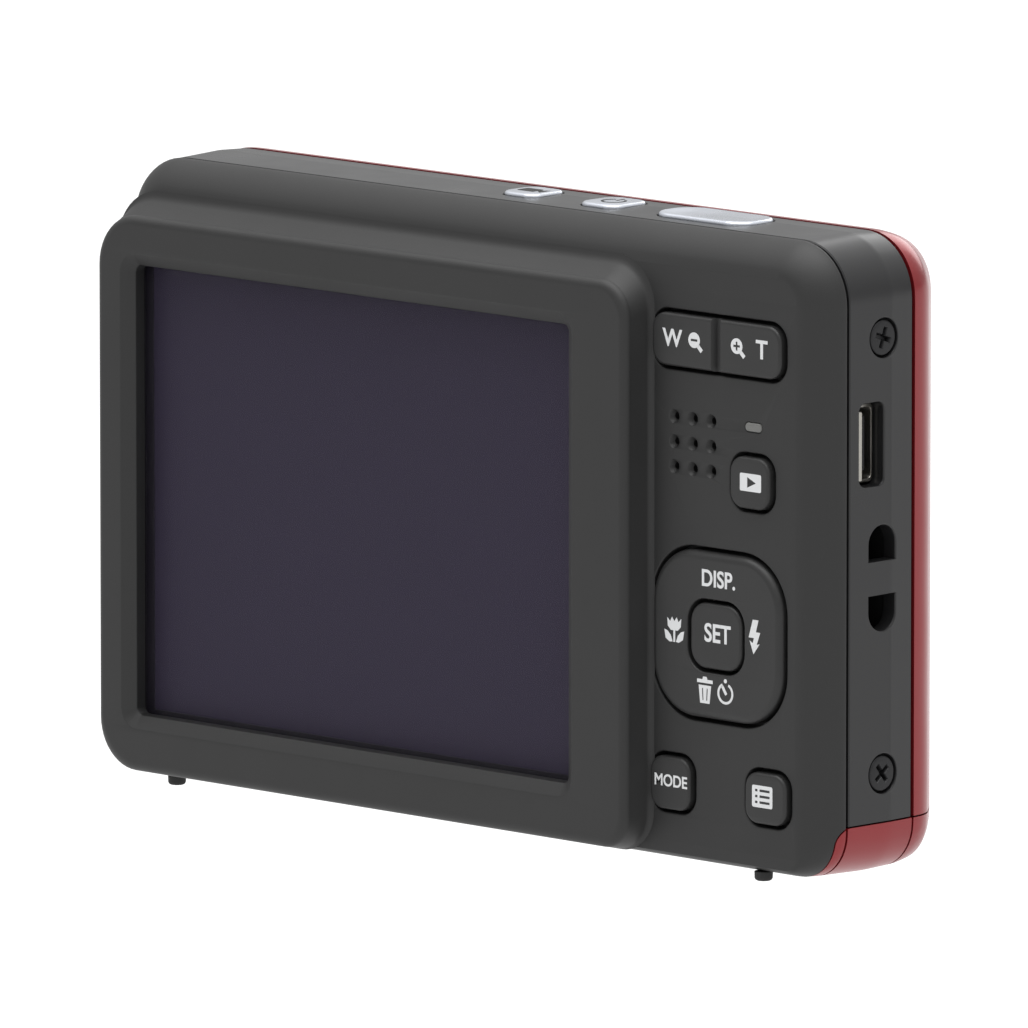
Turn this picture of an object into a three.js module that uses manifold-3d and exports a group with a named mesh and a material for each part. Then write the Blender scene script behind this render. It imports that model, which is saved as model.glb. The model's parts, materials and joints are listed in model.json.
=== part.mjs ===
// Compact digital camera with two AA cells, a telescoping zoom lens and a rear display.
// Millimetres. +X is the right hand side seen from the front, the lens looks along -Y, +Z is up.
// The origin is the bottom centre of the whole camera: the feet stand on z = 0.
import * as THREE from "three";
import { mergeVertices } from "three/addons/utils/BufferGeometryUtils.js";
import Module from "manifold-3d";

const wasm = await Module();
wasm.setup();

// ---------------------------------------------------------------- driving dimensions
const BODY_WIDTH = 93.0; // over the ridge that runs round the middle frame
const BODY_DEPTH = 28.7; // display bezel to front of the parked lens
const RIDGE_RISE = 0.2; // how far that ridge stands out from the seams
const HALF = BODY_WIDTH / 2 - RIDGE_RISE; // half width at the seams
const FLOOR_Z = 0; // underside of the body
const FOOT_HEIGHT = 0.6; // the feet stand below the underside
const ROOF_Z = 59.9; // top of the body at the seams
const CORNER = 5.8; // outline corner radius at the top
const LOW_CORNER = 4.6; // and at the bottom
const WALL = 1.4; // shell thickness
const GAP = 0.3; // clearance between separate pieces

// Depths are counted from the rear seam, where the rear cover meets the middle frame.
const BEZEL_RISE = 6.5; // display bezel, behind the seam
const PANEL_RISE = 3.5; // button panel, behind the seam
const FRAME_DEPTH = 8.9; // middle frame, from seam to seam
const RIDGE_DEPTH = 5.7;
const FRONT_BULGE = 4.6; // rounding of the front cover
const REAR_SEAM = BODY_DEPTH / 2 - BEZEL_RISE;
const FRONT_SEAM = REAR_SEAM - FRAME_DEPTH;
const PANEL = REAR_SEAM + PANEL_RISE;
const BEZEL = REAR_SEAM + BEZEL_RISE;
const FRONT_FACE = FRONT_SEAM - 0.4 - FRONT_BULGE;

const DISPLAY = { x0: -15.7, x1: 41.7, z0: 6.4, z1: 50.0, chamfer: 1.2, chamferDepth: 0.9 };
const LENS = { x: 12.5, z: 30.3 };
const GRIP = { x1: -8.6, depth: 5.2, topFall: 0.33, lowFall: 0.2 };
const CELL = { radius: 7.25, length: 50.5, xs: [-33.0, -18.1], y: REAR_SEAM - 9.85, z0: 3.2 };
const DOOR = { x1: -8.6, z1: 5.0, back: REAR_SEAM + 1.1, corner: 1.6, pinX: -10.2, pinZ: 1.3, floor: 2.0 };

const KEY_RAISE = 0.5; // how far the rear keys stand out of the panel
const KEY_GAP = 0.36;
const KEYS = {
  play_button: { x: -37.4, z: 37.07, w: 5.04, h: 4.87, r: 1.5 },
  mode_button: { x: -27.23, z: 7.57, w: 5.13, h: 5.03, r: 1.5 },
  menu_button: { x: -39.48, z: 7.49, w: 5.23, h: 4.85, r: 1.5 },
  set_button: { x: -33.15, z: 22.1, w: 6.58, h: 6.23, r: 1.9 },
};
const PAD = { x: -33.15, z: 22.1, w: 16.6, h: 15.82, r: 5.2 };
const ROCKER = { x: -33.12, z: 49.6, w: 16.5, h: 5.0, r: 1.6 };
const SPEAKER = { x: -29.7, z: 39.95, pitch: 2.37, holeRadius: 0.55 };
const TOP_KEYS = {
  record_button: { x: -1.2, w: 4.6, d: 4.8, r: 1.4 },
  power_button: { x: -11.7, w: 5.0, d: 5.2, r: 1.5 },
  shutter_button: { x: -24.9, w: 12.1, d: 5.7, r: 2.4 },
};
const TOP_KEY_Y = REAR_SEAM - 4.7;
const SCREW_Y = REAR_SEAM - 4.7;
const SCREW_ZS = { upper: 50.8, lower: 9.7 };
const USB = { y: REAR_SEAM - 3.1, z: 40.9, w: 3.4, h: 8.0 };
const STRAP = { y: REAR_SEAM - 4.55, z: 28.2, w: 3.6, h: 10.0, bar: 3.2 };
const TRIPOD = { x: 2.5, y: REAR_SEAM - 4.5, radius: 3.7, flange: 4.3, hole: 2.55 };

// ---------------------------------------------------------------- materials
const paint = (color, roughness, metalness = 0, extra = {}) =>
  new THREE.MeshStandardMaterial({ color, roughness, metalness, ...extra });
const MATTE_BLACK = paint(0x3a3a3a, 0.75);
const SATIN_BLACK = paint(0x39393a, 0.45);
const KEY_BLACK = paint(0x2f2f30, 0.6);
const DARK_PLASTIC = paint(0x161616, 0.6);
const RED_PAINT = paint(0x8c1f2a, 0.35, 0.4);
const SILVER = paint(0xb9bcc2, 0.3, 0.9);
const STEEL = paint(0x8f9194, 0.4, 1);
const BLACK_STEEL = paint(0x242424, 0.45, 0.6);
const BRASS = paint(0xb08d4a, 0.35, 1);
const GLASS = paint(0xdfe6ea, 0.05, 0, { transparent: true, opacity: 0.35 });
const SCREEN = paint(0x3a3644, 0.5);
const BOARD_GREEN = paint(0x1d5a3a, 0.6);
const RUBBER = paint(0x1a1a1a, 0.9);
const CELL_WRAP = paint(0x6f7378, 0.35, 0.5);

// ---------------------------------------------------------------- solids and outlines
// A three.js geometry as a manifold-3d solid with its faces turned out.
function solid(geometry) {
  const bare = geometry.index ? geometry.toNonIndexed() : geometry.clone();
  const only = new THREE.BufferGeometry().setAttribute("position", bare.getAttribute("position"));
  const merged = mergeVertices(only, 1e-4);
  const vertProperties = new Float32Array(merged.attributes.position.array);
  const triVerts = new Uint32Array(merged.index.array);
  const made = new wasm.Manifold(new wasm.Mesh({ numProp: 3, vertProperties, triVerts }));
  if (made.volume() > 0) return made;
  for (let i = 0; i < triVerts.length; i += 3)
    [triVerts[i + 1], triVerts[i + 2]] = [triVerts[i + 2], triVerts[i + 1]];
  return new wasm.Manifold(new wasm.Mesh({ numProp: 3, vertProperties, triVerts }));
}

// A manifold-3d solid as a three.js geometry.
function geometryOf(body) {
  const mesh = body.getMesh();
  const position = new Float32Array(mesh.numVert * 3);
  for (let i = 0; i < mesh.numVert; i++)
    for (let k = 0; k < 3; k++) position[3 * i + k] = mesh.vertProperties[i * mesh.numProp + k];
  const geometry = new THREE.BufferGeometry();
  geometry.setAttribute("position", new THREE.BufferAttribute(position, 3));
  geometry.setIndex(new THREE.BufferAttribute(new Uint32Array(mesh.triVerts), 1));
  geometry.computeVertexNormals();
  return geometry;
}

const join = (...bodies) => bodies.reduce((a, b) => a.add(b));
const cut = (body, ...tools) => tools.reduce((a, b) => a.subtract(b), body);

// Outline of a rounded rectangle, anticlockwise from the low right corner.
// radii: one number, or [low right, high right, high left, low left].
function roundRect(x0, x1, z0, z1, radii, segments = 6) {
  const [a, b, c, d] = Array.isArray(radii) ? radii : [radii, radii, radii, radii];
  const corners = [
    [x1 - a, z0 + a, a, -90],
    [x1 - b, z1 - b, b, 0],
    [x0 + c, z1 - c, c, 90],
    [x0 + d, z0 + d, d, 180],
  ];
  const points = [];
  for (const [cx, cz, r, start] of corners)
    for (let i = 0; i <= segments; i++) {
      const angle = THREE.MathUtils.degToRad(start + (90 * i) / segments);
      points.push(new THREE.Vector2(cx + r * Math.cos(angle), cz + r * Math.sin(angle)));
    }
  return points;
}

const centred = (x, z, w, h, r, grow = 0, segments = 6) =>
  roundRect(x - w / 2 - grow, x + w / 2 + grow, z - h / 2 - grow, z + h / 2 + grow, r + grow, segments);

function circle(x, z, radius, segments = 24) {
  return Array.from({ length: segments }, (_, i) => {
    const angle = (2 * Math.PI * i) / segments;
    return new THREE.Vector2(x + radius * Math.cos(angle), z + radius * Math.sin(angle));
  });
}

const extrude = (points, depth) =>
  new THREE.ExtrudeGeometry(new THREE.Shape(points), { depth, bevelEnabled: false });

// Prisms: an outline swept along one axis. alongY takes (x, z) outlines, alongX (y, z), alongZ (x, y).
const alongY = (points, y0, y1) =>
  solid(extrude(points, y1 - y0).rotateX(Math.PI / 2).translate(0, y1, 0));
const alongX = (points, x0, x1) =>
  solid(extrude(points, x1 - x0).rotateX(Math.PI / 2).rotateZ(Math.PI / 2).translate(x0, 0, 0));
const alongZ = (points, z0, z1) => solid(extrude(points, z1 - z0).translate(0, 0, z0));

const box = (x0, x1, y0, y1, z0, z1) =>
  solid(
    new THREE.BoxGeometry(x1 - x0, y1 - y0, z1 - z0).translate((x0 + x1) / 2, (y0 + y1) / 2, (z0 + z1) / 2),
  );

// A body through outlines of equal point count, each at its own depth y.
function loft(sections) {
  const count = sections[0].points.length;
  const at = (k, i) => {
    const p = sections[k].points[i % count];
    return [p.x, sections[k].y, p.y];
  };
  const triangles = [];
  for (let k = 0; k + 1 < sections.length; k++)
    for (let i = 0; i < count; i++) {
      triangles.push(at(k, i), at(k + 1, i), at(k + 1, i + 1));
      triangles.push(at(k, i), at(k + 1, i + 1), at(k, i + 1));
    }
  for (const k of [0, sections.length - 1])
    for (const face of THREE.ShapeUtils.triangulateShape(sections[k].points, [])) {
      const corners = face.map((i) => at(k, i));
      triangles.push(...(k === 0 ? corners : corners.reverse()));
    }
  const geometry = new THREE.BufferGeometry();
  geometry.setAttribute("position", new THREE.Float32BufferAttribute(triangles.flat(), 3));
  return solid(geometry);
}

// A body turned about the Y axis from [radius, y] pairs. A ring's profile closes on itself.
function turned(pairs, segments = 36, closed = true) {
  const points = pairs.map(([r, y]) => new THREE.Vector2(r, y));
  if (closed) points.push(points[0].clone());
  return solid(new THREE.LatheGeometry(points, segments));
}
const ring = (inner, outer, y0, y1, segments = 36) =>
  turned([[inner, y0], [outer, y0], [outer, y1], [inner, y1]], segments);
const disc = (radius, y0, y1, segments = 36) =>
  turned([[0, y0], [radius, y0], [radius, y1], [0, y1]], segments, false);

// A coil of round wire standing along Z from z = 0.
function coil(radius, wire, height, turns) {
  class Helix extends THREE.Curve {
    getPoint(t, target = new THREE.Vector3()) {
      const angle = 2 * Math.PI * turns * t;
      return target.set(radius * Math.cos(angle), radius * Math.sin(angle), wire + (height - 2 * wire) * t);
    }
  }
  const section = new THREE.Shape(circle(0, 0, wire, 6));
  return solid(new THREE.ExtrudeGeometry(section, { extrudePath: new Helix(), steps: 12 * turns }));
}

// A spur gear's outline about the origin: teeth with straight flanks, thin enough for a free mesh.
function gearOutline(teeth, modul, inner = null, first = 0, last = teeth - 1) {
  const pitch = (teeth * modul) / 2;
  const points = [];
  const add = (radius, angle) =>
    points.push(new THREE.Vector2(radius * Math.cos(angle), radius * Math.sin(angle)));
  for (let i = first; i <= last; i++) {
    const middle = (2 * Math.PI * i) / teeth;
    const root = (0.38 * modul * Math.PI) / 2 / pitch + 0.12 * (modul / pitch);
    const tip = (0.14 * modul * Math.PI) / 2 / pitch;
    add(pitch - 1.2 * modul, middle - root);
    add(pitch + 0.85 * modul, middle - tip);
    add(pitch + 0.85 * modul, middle + tip);
    add(pitch - 1.2 * modul, middle + root);
  }
  if (inner !== null)
    for (let i = last; i >= first; i--) add(inner, (2 * Math.PI * i) / teeth);
  return points;
}

const root = new THREE.Group();
function place(name, body, material, parent = root, position = [0, 0, 0]) {
  const mesh = new THREE.Mesh(geometryOf(body), material);
  mesh.name = name;
  mesh.position.set(...position);
  parent.add(mesh);
  return mesh;
}

// ---------------------------------------------------------------- the body's outlines
// The body's outline, inset from the seam outline by `inset` (negative: grown).
function bodyOutline(inset, low = inset, segments = 6) {
  const top = Math.max(CORNER - inset, 0.4);
  const bottom = Math.max(LOW_CORNER - inset, 0.4);
  return roundRect(-HALF + inset, HALF - inset, FLOOR_Z + low, ROOF_Z - inset,
    [bottom, top, top, bottom], segments);
}

// Everything behind the door's seam that belongs to the door: the low grip corner.
function doorRegion(grow = 0) {
  const side = roundRect(-20, DOOR.back + grow, -2, DOOR.z1 + grow,
    [0.01, DOOR.corner + grow, 0.01, 0.01], 4);
  return alongX(side, -HALF - 5, DOOR.x1 + grow);
}

// The front cover's outer form, grown by `grow` (negative for its inner surface).
function frontForm(grow = 0) {
  const back = FRONT_SEAM;
  const steps = [];
  const arcs = 5;
  steps.push({ y: back, points: bodyOutline(-RIDGE_RISE / 2 - grow) });
  for (let i = 0; i <= arcs; i++) {
    const angle = (Math.PI / 2) * (i / arcs);
    const inset = 5.0 * (1 - Math.cos(angle)) - RIDGE_RISE / 2 - grow;
    steps.push({ y: back - 0.4 - (FRONT_BULGE + grow) * Math.sin(angle), points: bodyOutline(inset) });
  }
  return join(loft(steps), gripForm(grow));
}

// The grip: slices of a rounded outline that shrink on all sides towards its flat front.
function gripForm(grow = 0) {
  const top = FRONT_FACE - GRIP.depth - grow;
  const back = FRONT_SEAM - 0.5;
  const side = -HALF + 0.35 - grow;
  const v = (x, y) => new THREE.Vector2(x, y);
  const outside = new THREE.CubicBezierCurve(v(side, FRONT_SEAM - 2.4), v(-42.6 - grow, top + 3.4),
    v(-39.5 - grow, top), v(-34.5, top)).getPoints(6);
  const foot = v(GRIP.x1 + 0.6 + grow, FRONT_FACE);
  const inside = [v(GRIP.x1 + 1.5 + grow, back), ...new THREE.CubicBezierCurve(foot,
    v(GRIP.x1 - 1.6 + grow, top + 1.2), v(GRIP.x1 - 2.2, top), v(GRIP.x1 - 7, top)).getPoints(20)];
  // Where the flank beside the lens lies at depth y.
  const flank = (y) => {
    const k = Math.max(1, inside.findIndex((p) => p.y <= y + 1e-9));
    const [p, q] = [inside[k - 1], inside[k]];
    return p.x + ((q.x - p.x) * (p.y - y)) / (p.y - q.y);
  };
  const slices = [v(side, back), ...outside].map(({ x, y }) => {
    const inset = x - side;
    return {
      y,
      points: roundRect(x, flank(y), FLOOR_Z + 0.1 - grow + GRIP.lowFall * inset,
        ROOF_Z - 0.3 + grow - GRIP.topFall * inset,
        [2.5, 2.5, Math.max(5.5 - 0.3 * inset, 3), Math.max(4.3 - 0.15 * inset, 3)], 4),
    };
  });
  return loft(slices);
}

// ---------------------------------------------------------------- rear cover and what it carries
const rearShell = () =>
  loft([
    { y: REAR_SEAM + 0.05, points: bodyOutline(0) },
    { y: PANEL - 0.9, points: bodyOutline(2.2, 0.1) },
    { y: PANEL, points: bodyOutline(3.4, 0.9) },
  ]);
const rearHollow = () =>
  loft([
    { y: REAR_SEAM - 1, points: bodyOutline(WALL) },
    { y: REAR_SEAM + 0.1, points: bodyOutline(WALL) },
    { y: PANEL - WALL, points: bodyOutline(3.4, 1.9) },
  ]);

function rearCover() {
  const bezel = loft([
    { y: REAR_SEAM + 0.05, points: roundRect(-24.3, HALF, FLOOR_Z + 0.3, 56.1,
      [LOW_CORNER, CORNER, 4, 3]) },
    { y: PANEL, points: roundRect(-24.3, HALF, FLOOR_Z + 0.5, 56.1, [LOW_CORNER, CORNER, 4, 3]) },
    { y: BEZEL - 0.7, points: roundRect(-23.7, HALF - 0.1, 1.7, 55.0, [LOW_CORNER, 5, 3.4, 3]) },
    { y: BEZEL, points: roundRect(-22.9, HALF - 0.9, 2.5, 54.2, [3.8, 4.2, 2.6, 2.4]) },
  ]).intersect(alongY(bodyOutline(0), REAR_SEAM, BEZEL + 1));
  const { x0, x1, z0, z1, chamfer, chamferDepth } = DISPLAY;
  const displayHole = alongY(roundRect(x0, x1, z0, z1, 0.8, 3), PANEL - 3, BEZEL + 1);
  const displayChamfer = loft([
    { y: BEZEL - chamferDepth, points: roundRect(x0, x1, z0, z1, 0.8, 3) },
    { y: BEZEL + 0.01, points: roundRect(x0 - chamfer, x1 + chamfer, z0 - chamfer, z1 + chamfer, 1.6, 3) },
  ]);
  // Pocket behind the bezel for the display's window and frame.
  const displayPocket = box(x0 - 1.6, x1 + 1.9, REAR_SEAM - 1, BEZEL - 1.9, z0 - 1.7, z1 + 1.7);
  const keyHoles = Object.entries(KEYS)
    .filter(([name]) => name !== "set_button")
    .map(([, k]) => alongY(centred(k.x, k.z, k.w, k.h, k.r, KEY_GAP), 0, PANEL + 1));
  keyHoles.push(alongY(centred(PAD.x, PAD.z, PAD.w, PAD.h, PAD.r, KEY_GAP), 0, PANEL + 1));
  keyHoles.push(alongY(centred(ROCKER.x, ROCKER.z, ROCKER.w, ROCKER.h, ROCKER.r, KEY_GAP), 0, PANEL + 1));
  const speakerHoles = [];
  for (const i of [-1, 0, 1])
    for (const k of [-1, 0, 1])
      speakerHoles.push(
        alongY(circle(SPEAKER.x + i * SPEAKER.pitch, SPEAKER.z + k * SPEAKER.pitch, SPEAKER.holeRadius, 8),
          0, PANEL + 1),
      );
  const ledHole = alongY(centred(-37.5, 42.3, 2.2, 0.95, 0.4, 0.12, 2), 0, PANEL + 1);
  return cut(join(rearShell(), bezel), rearHollow(), displayHole, displayChamfer, displayPocket,
    ...keyHoles, ...speakerHoles, ledHole, doorRegion(GAP));
}
place("rear_cover", rearCover(), MATTE_BLACK);

{
  const { x0, x1, z0, z1 } = DISPLAY;
  place("display_window", box(x0 - 1.3, x1 + 1.6, BEZEL - 3.0, BEZEL - 2.1, z0 - 1.4, z1 + 1.4), GLASS);
  place("display_panel", box(x0 - 1.2, x1 + 1.5, BEZEL - 5.6, BEZEL - 3.3, z0 - 1.3, z1 + 1.3), SCREEN);
}

// A key: the cap that shows, a flange that keeps it behind the panel and a nub over its switch.
const KEY_FLANGE = [REAR_SEAM + 1.3, REAR_SEAM + 1.75];
const KEY_NUB = REAR_SEAM + 1.1;
function key({ w, h, r }, flange = KEY_FLANGE) {
  const top = PANEL + KEY_RAISE;
  const cap = loft([
    { y: flange[0], points: centred(0, 0, w, h, r) },
    { y: top - 0.35, points: centred(0, 0, w, h, r) },
    { y: top, points: centred(0, 0, w, h, r, -0.35) },
  ]);
  const brim = alongY(centred(0, 0, w, h, r, KEY_GAP + 0.25), ...flange);
  return join(cap, brim, disc(0.9, KEY_NUB, flange[0] + 0.2, 12));
}
for (const [name, k] of Object.entries(KEYS))
  if (name !== "set_button") place(name, key(k), KEY_BLACK, root, [k.x, 0, k.z]);
{
  // The centre key has no brim: it is held by the pad that surrounds it.
  const k = KEYS.set_button;
  const top = PANEL + KEY_RAISE;
  const body = loft([
    { y: REAR_SEAM + 1.3, points: centred(0, 0, k.w, k.h, k.r) },
    { y: top - 0.35, points: centred(0, 0, k.w, k.h, k.r) },
    { y: top, points: centred(0, 0, k.w, k.h, k.r, -0.35) },
  ]);
  place("set_button", join(body, disc(0.9, KEY_NUB, REAR_SEAM + 1.5, 12)), KEY_BLACK, root,
    [k.x, 0, k.z]);
}
{
  const top = PANEL + KEY_RAISE;
  const cap = loft([
    { y: REAR_SEAM + 1.3, points: centred(0, 0, PAD.w, PAD.h, PAD.r) },
    { y: top - 0.4, points: centred(0, 0, PAD.w, PAD.h, PAD.r) },
    { y: top, points: centred(0, 0, PAD.w, PAD.h, PAD.r, -0.5) },
  ]);
  const brim = alongY(centred(0, 0, PAD.w, PAD.h, PAD.r, KEY_GAP + 0.4), REAR_SEAM + 1.3, REAR_SEAM + 1.55);
  const k = KEYS.set_button;
  const hole = alongY(centred(0, 0, k.w, k.h, k.r, KEY_GAP), REAR_SEAM, top + 1);
  place("navigation_pad", cut(join(cap, brim), hole), KEY_BLACK, root, [PAD.x, 0, PAD.z]);
  place("pad_pivot_ring", ring(3.9, 4.6, REAR_SEAM + 0.9, REAR_SEAM + 1.1, 20), STEEL, root,
    [PAD.x, 0, PAD.z]);
}
{
  const { w, h, r } = ROCKER;
  const groove = box(-0.35, 0.35, PANEL + KEY_RAISE - 0.4, PANEL + 2, -4, 4);
  const nubs = [-5, 5].map((x) => disc(0.9, KEY_NUB, REAR_SEAM + 1.5, 12).translate([x, 0, 0]));
  const whole = join(
    loft([
      { y: REAR_SEAM + 1.3, points: centred(0, 0, w, h, r) },
      { y: PANEL + KEY_RAISE - 0.35, points: centred(0, 0, w, h, r) },
      { y: PANEL + KEY_RAISE, points: centred(0, 0, w, h, r, -0.35) },
    ]),
    alongY(centred(0, 0, w, h, r, KEY_GAP + 0.35), REAR_SEAM + 1.3, REAR_SEAM + 1.65),
    ...nubs,
  );
  place("zoom_rocker", cut(whole, groove), KEY_BLACK, root, [ROCKER.x, 0, ROCKER.z]);
}
place("status_light", alongY(centred(0, 0, 2.2, 0.95, 0.4, 0, 2), REAR_SEAM + 0.9, PANEL + 0.02),
  paint(0x6a6a6a, 0.4), root, [-37.5, 0, 42.3]);

// The switch board behind the keys, with a dome for each contact.
{
  const y = REAR_SEAM + 0.6;
  const board = cut(
    alongY(roundRect(-43.4, -18.2, 5.6, 54.5, [0.5, 0.5, 3, 3], 3), y - 0.4, y),
    alongY(circle(SPEAKER.x, SPEAKER.z, 4.5, 20), 0, 12),
  );
  const spots = [
    ...Object.values(KEYS).map((k) => [k.x, k.z]),
    [PAD.x + 6.2, PAD.z], [PAD.x - 6.2, PAD.z], [PAD.x, PAD.z + 6.2], [PAD.x, PAD.z - 6.2],
    [ROCKER.x - 5, ROCKER.z], [ROCKER.x + 5, ROCKER.z],
  ];
  const domes = spots.map(([x, z]) =>
    turned([[0, y - 0.1], [1.1, y - 0.1], [0.7, y + 0.2], [0, y + 0.2]], 12, false).translate([x, 0, z]));
  place("key_board", join(board, ...domes), BOARD_GREEN);
}
place("speaker", turned([[0, 0], [4.2, 0], [4.2, 0.8], [3.4, 1.3], [0, 1.3]], 20, false), DARK_PLASTIC,
  root,
  [SPEAKER.x, REAR_SEAM + 0.35, SPEAKER.z]);

// ---------------------------------------------------------------- middle frame
function middleFrame() {
  const outer = loft([
    { y: FRONT_SEAM + 0.05, points: bodyOutline(-RIDGE_RISE / 2) },
    { y: REAR_SEAM - RIDGE_DEPTH, points: bodyOutline(-RIDGE_RISE) },
    { y: REAR_SEAM - 0.05, points: bodyOutline(0) },
  ]);
  const inner = alongY(bodyOutline(WALL), FRONT_SEAM - 1, REAR_SEAM + 1);
  const tools = [inner, doorRegion(GAP)];
  // Top keys.
  for (const k of Object.values(TOP_KEYS))
    tools.push(alongZ(centred(k.x, TOP_KEY_Y, k.w, k.d, k.r, 0.2, 4), 50, 70));
  // Side screws: a counterbore and a clearance hole each.
  for (const [from, to] of [[-HALF - 2, -HALF + 0.9], [HALF - 0.9, HALF + 2]])
    for (const z of Object.values(SCREW_ZS)) tools.push(alongX(circle(SCREW_Y, z, 1.95, 20), from, to));
  for (const [from, to] of [[-HALF - 2, -HALF + 4], [HALF - 4, HALF + 2]])
    for (const z of Object.values(SCREW_ZS)) tools.push(alongX(circle(SCREW_Y, z, 1.1, 16), from, to));
  tools.push(alongX(centred(USB.y, USB.z, USB.w, USB.h, 0.7, 0, 3), -HALF - 2, -HALF + 4));
  // Two strap holes that leave a bar between them.
  const slot = alongX(centred(STRAP.y, STRAP.z, STRAP.w, STRAP.h, STRAP.w / 2 - 0.01, 0, 6), -HALF - 2,
    -HALF + 4);
  const bar = box(-HALF - 3, -HALF + 5, -10, 15, STRAP.z - STRAP.bar / 2, STRAP.z + STRAP.bar / 2);
  tools.push(slot.subtract(bar));
  tools.push(alongZ(circle(TRIPOD.x, TRIPOD.y, TRIPOD.radius + 0.15, 24), -2, 4));
  return cut(outer, ...tools);
}
place("middle_frame", middleFrame(), SATIN_BLACK);

// Countersunk cross-head screws, two on each side.
function sideScrew() {
  const shape = turned([[0, -5.2], [0.75, -5.2], [0.75, -0.75], [1.7, -0.5], [1.7, -0.12], [0, 0]], 20,
    false);
  const cross = join(box(-0.75, 0.75, -0.7, 0.5, -0.17, 0.17), box(-0.17, 0.17, -0.7, 0.5, -0.75, 0.75));
  return cut(shape, cross);
}
for (const [side, label] of [[-1, "grip_side"], [1, "far_side"]])
  for (const [level, z] of Object.entries(SCREW_ZS)) {
    const screw = place(`screw_${label}_${level}`, sideScrew(), BLACK_STEEL, root,
      [side * (HALF + 0.1), SCREW_Y, z]);
    screw.rotation.z = (-side * Math.PI) / 2;
  }

// The strap's pocket behind its bar.
{
  const y0 = STRAP.y - STRAP.w / 2 - 0.9;
  const y1 = STRAP.y + STRAP.w / 2 + 0.9;
  const x0 = -HALF + WALL + 0.15;
  const pocket = cut(
    box(x0, x0 + 3.4, y0, y1, STRAP.z - 6, STRAP.z + 6),
    box(x0 - 1, x0 + 2.6, y0 + 0.8, y1 - 0.8, STRAP.z - 5.1, STRAP.z + 5.1),
  );
  place("strap_pocket", pocket, DARK_PLASTIC);
}

// Data socket: a pressed steel shell with its tongue, on its own small board.
{
  const x0 = -HALF + 0.35;
  const outline = (grow) => centred(0, 0, 3.0, 7.6, 0.6, grow, 2);
  const shell = cut(alongX(outline(0), 0, 5.4), alongX(outline(-0.25), -1, 5.0));
  place("data_socket", shell, STEEL, root, [x0, USB.y, USB.z]);
  place("data_socket_tongue", box(0.9, 4.6, -0.2, 0.55, -2.6, 2.6), DARK_PLASTIC, root, [x0, USB.y, USB.z]);
}

// Feet.
for (const [name, x, y] of [
  ["foot_rear_grip", -37.8, REAR_SEAM + 2.3], ["foot_rear_far", 39.6, REAR_SEAM + 2.3],
  ["foot_front_grip", -29, FRONT_SEAM - 2.2], ["foot_front_far", 37, FRONT_SEAM - 2.2],
]) {
  const foot = turned([[0, 0], [0.65, 0], [0.85, 0.2], [0.85, FOOT_HEIGHT - 0.05],
    [0, FOOT_HEIGHT - 0.05]], 16, false);
  place(name, foot.rotate([90, 0, 0]), RUBBER, root, [x, y, FLOOR_Z - FOOT_HEIGHT]);
}

// Tripod socket.
{
  const { hole, radius, flange } = TRIPOD;
  const inside = WALL + 0.25;
  const bush = turned([[hole, -6.4], [flange, -6.4], [flange, -inside], [radius, -inside], [radius, 0],
    [hole, 0]],
    24);
  place("tripod_socket", bush.rotate([-90, 0, 0]), BRASS, root, [TRIPOD.x, TRIPOD.y, FLOOR_Z]);
}

// ---------------------------------------------------------------- front cover and what it carries
const FLASH = { x: 35, z: 47.6, w: 12.4, h: 6.8, r: 1.2 };
const LAMP = { x: 26, z: 53.0, radius: 1.5 };
const MICROPHONE = { x: 3, z: 53.4 };
const MOTOR = { x: LENS.x + 18.75 * Math.SQRT1_2, z: LENS.z - 18.75 * Math.SQRT1_2 };

function frontCover() {
  const micHoles = [-1.1, 0, 1.1].map((dx) => alongY(circle(MICROPHONE.x + dx, MICROPHONE.z, 0.35, 8),
    -20, 0));
  return cut(frontForm(0),
    frontForm(-1.1),
    alongY(bodyOutline(WALL), FRONT_SEAM - 0.5, FRONT_SEAM + 1),
    alongY(circle(LENS.x, LENS.z, 18.5, 48), -20, 0),
    alongY(centred(FLASH.x, FLASH.z, FLASH.w, FLASH.h, FLASH.r, 0.15, 3), -20, 0),
    alongY(circle(LAMP.x, LAMP.z, LAMP.radius + 0.12, 16), -20, 0),
    ...micHoles,
    doorRegion(GAP));
}
place("front_cover", frontCover(), RED_PAINT);

{
  const face = FRONT_FACE - 0.1;
  const pane = loft([
    { y: face, points: centred(0, 0, FLASH.w, FLASH.h, FLASH.r, -0.25, 3) },
    { y: face + 0.25, points: centred(0, 0, FLASH.w, FLASH.h, FLASH.r, 0, 3) },
    { y: face + 1.4, points: centred(0, 0, FLASH.w, FLASH.h, FLASH.r, 0, 3) },
  ]);
  place("flash_window", pane, GLASS, root, [FLASH.x, 0, FLASH.z]);
  // An open trough behind the window, with the flash tube lying along its bottom.
  const trough = cut(
    loft([
      { y: face + 1.7, points: roundRect(-5.9, 5.9, -3.2, 3.2, 0.3, 1) },
      { y: face + 6.6, points: roundRect(-5.9, 5.9, -1.7, 1.7, 0.3, 1) },
    ]),
    loft([
      { y: face + 1.6, points: roundRect(-5.5, 5.5, -2.8, 2.8, 0.2, 1) },
      { y: face + 6.2, points: roundRect(-5.5, 5.5, -1.3, 1.3, 0.2, 1) },
    ]),
  );
  place("flash_reflector", trough, SILVER, root, [FLASH.x, 0, FLASH.z]);
  place("flash_capacitor", alongZ(circle(0, 0, 3.6, 20), 12, 38), CELL_WRAP, root, [38.6, 1.6, 0]);
}
place("focus_lamp", turned([[0, -0.3], [0.9, -0.2], [LAMP.radius, 0.1], [LAMP.radius, 1.3], [0, 1.3]],
  16, false),
  GLASS, root, [LAMP.x, FRONT_FACE, LAMP.z]);

// ---------------------------------------------------------------- zoom lens
const lens = new THREE.Group();
lens.position.set(LENS.x, 0, LENS.z);
root.add(lens);

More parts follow.
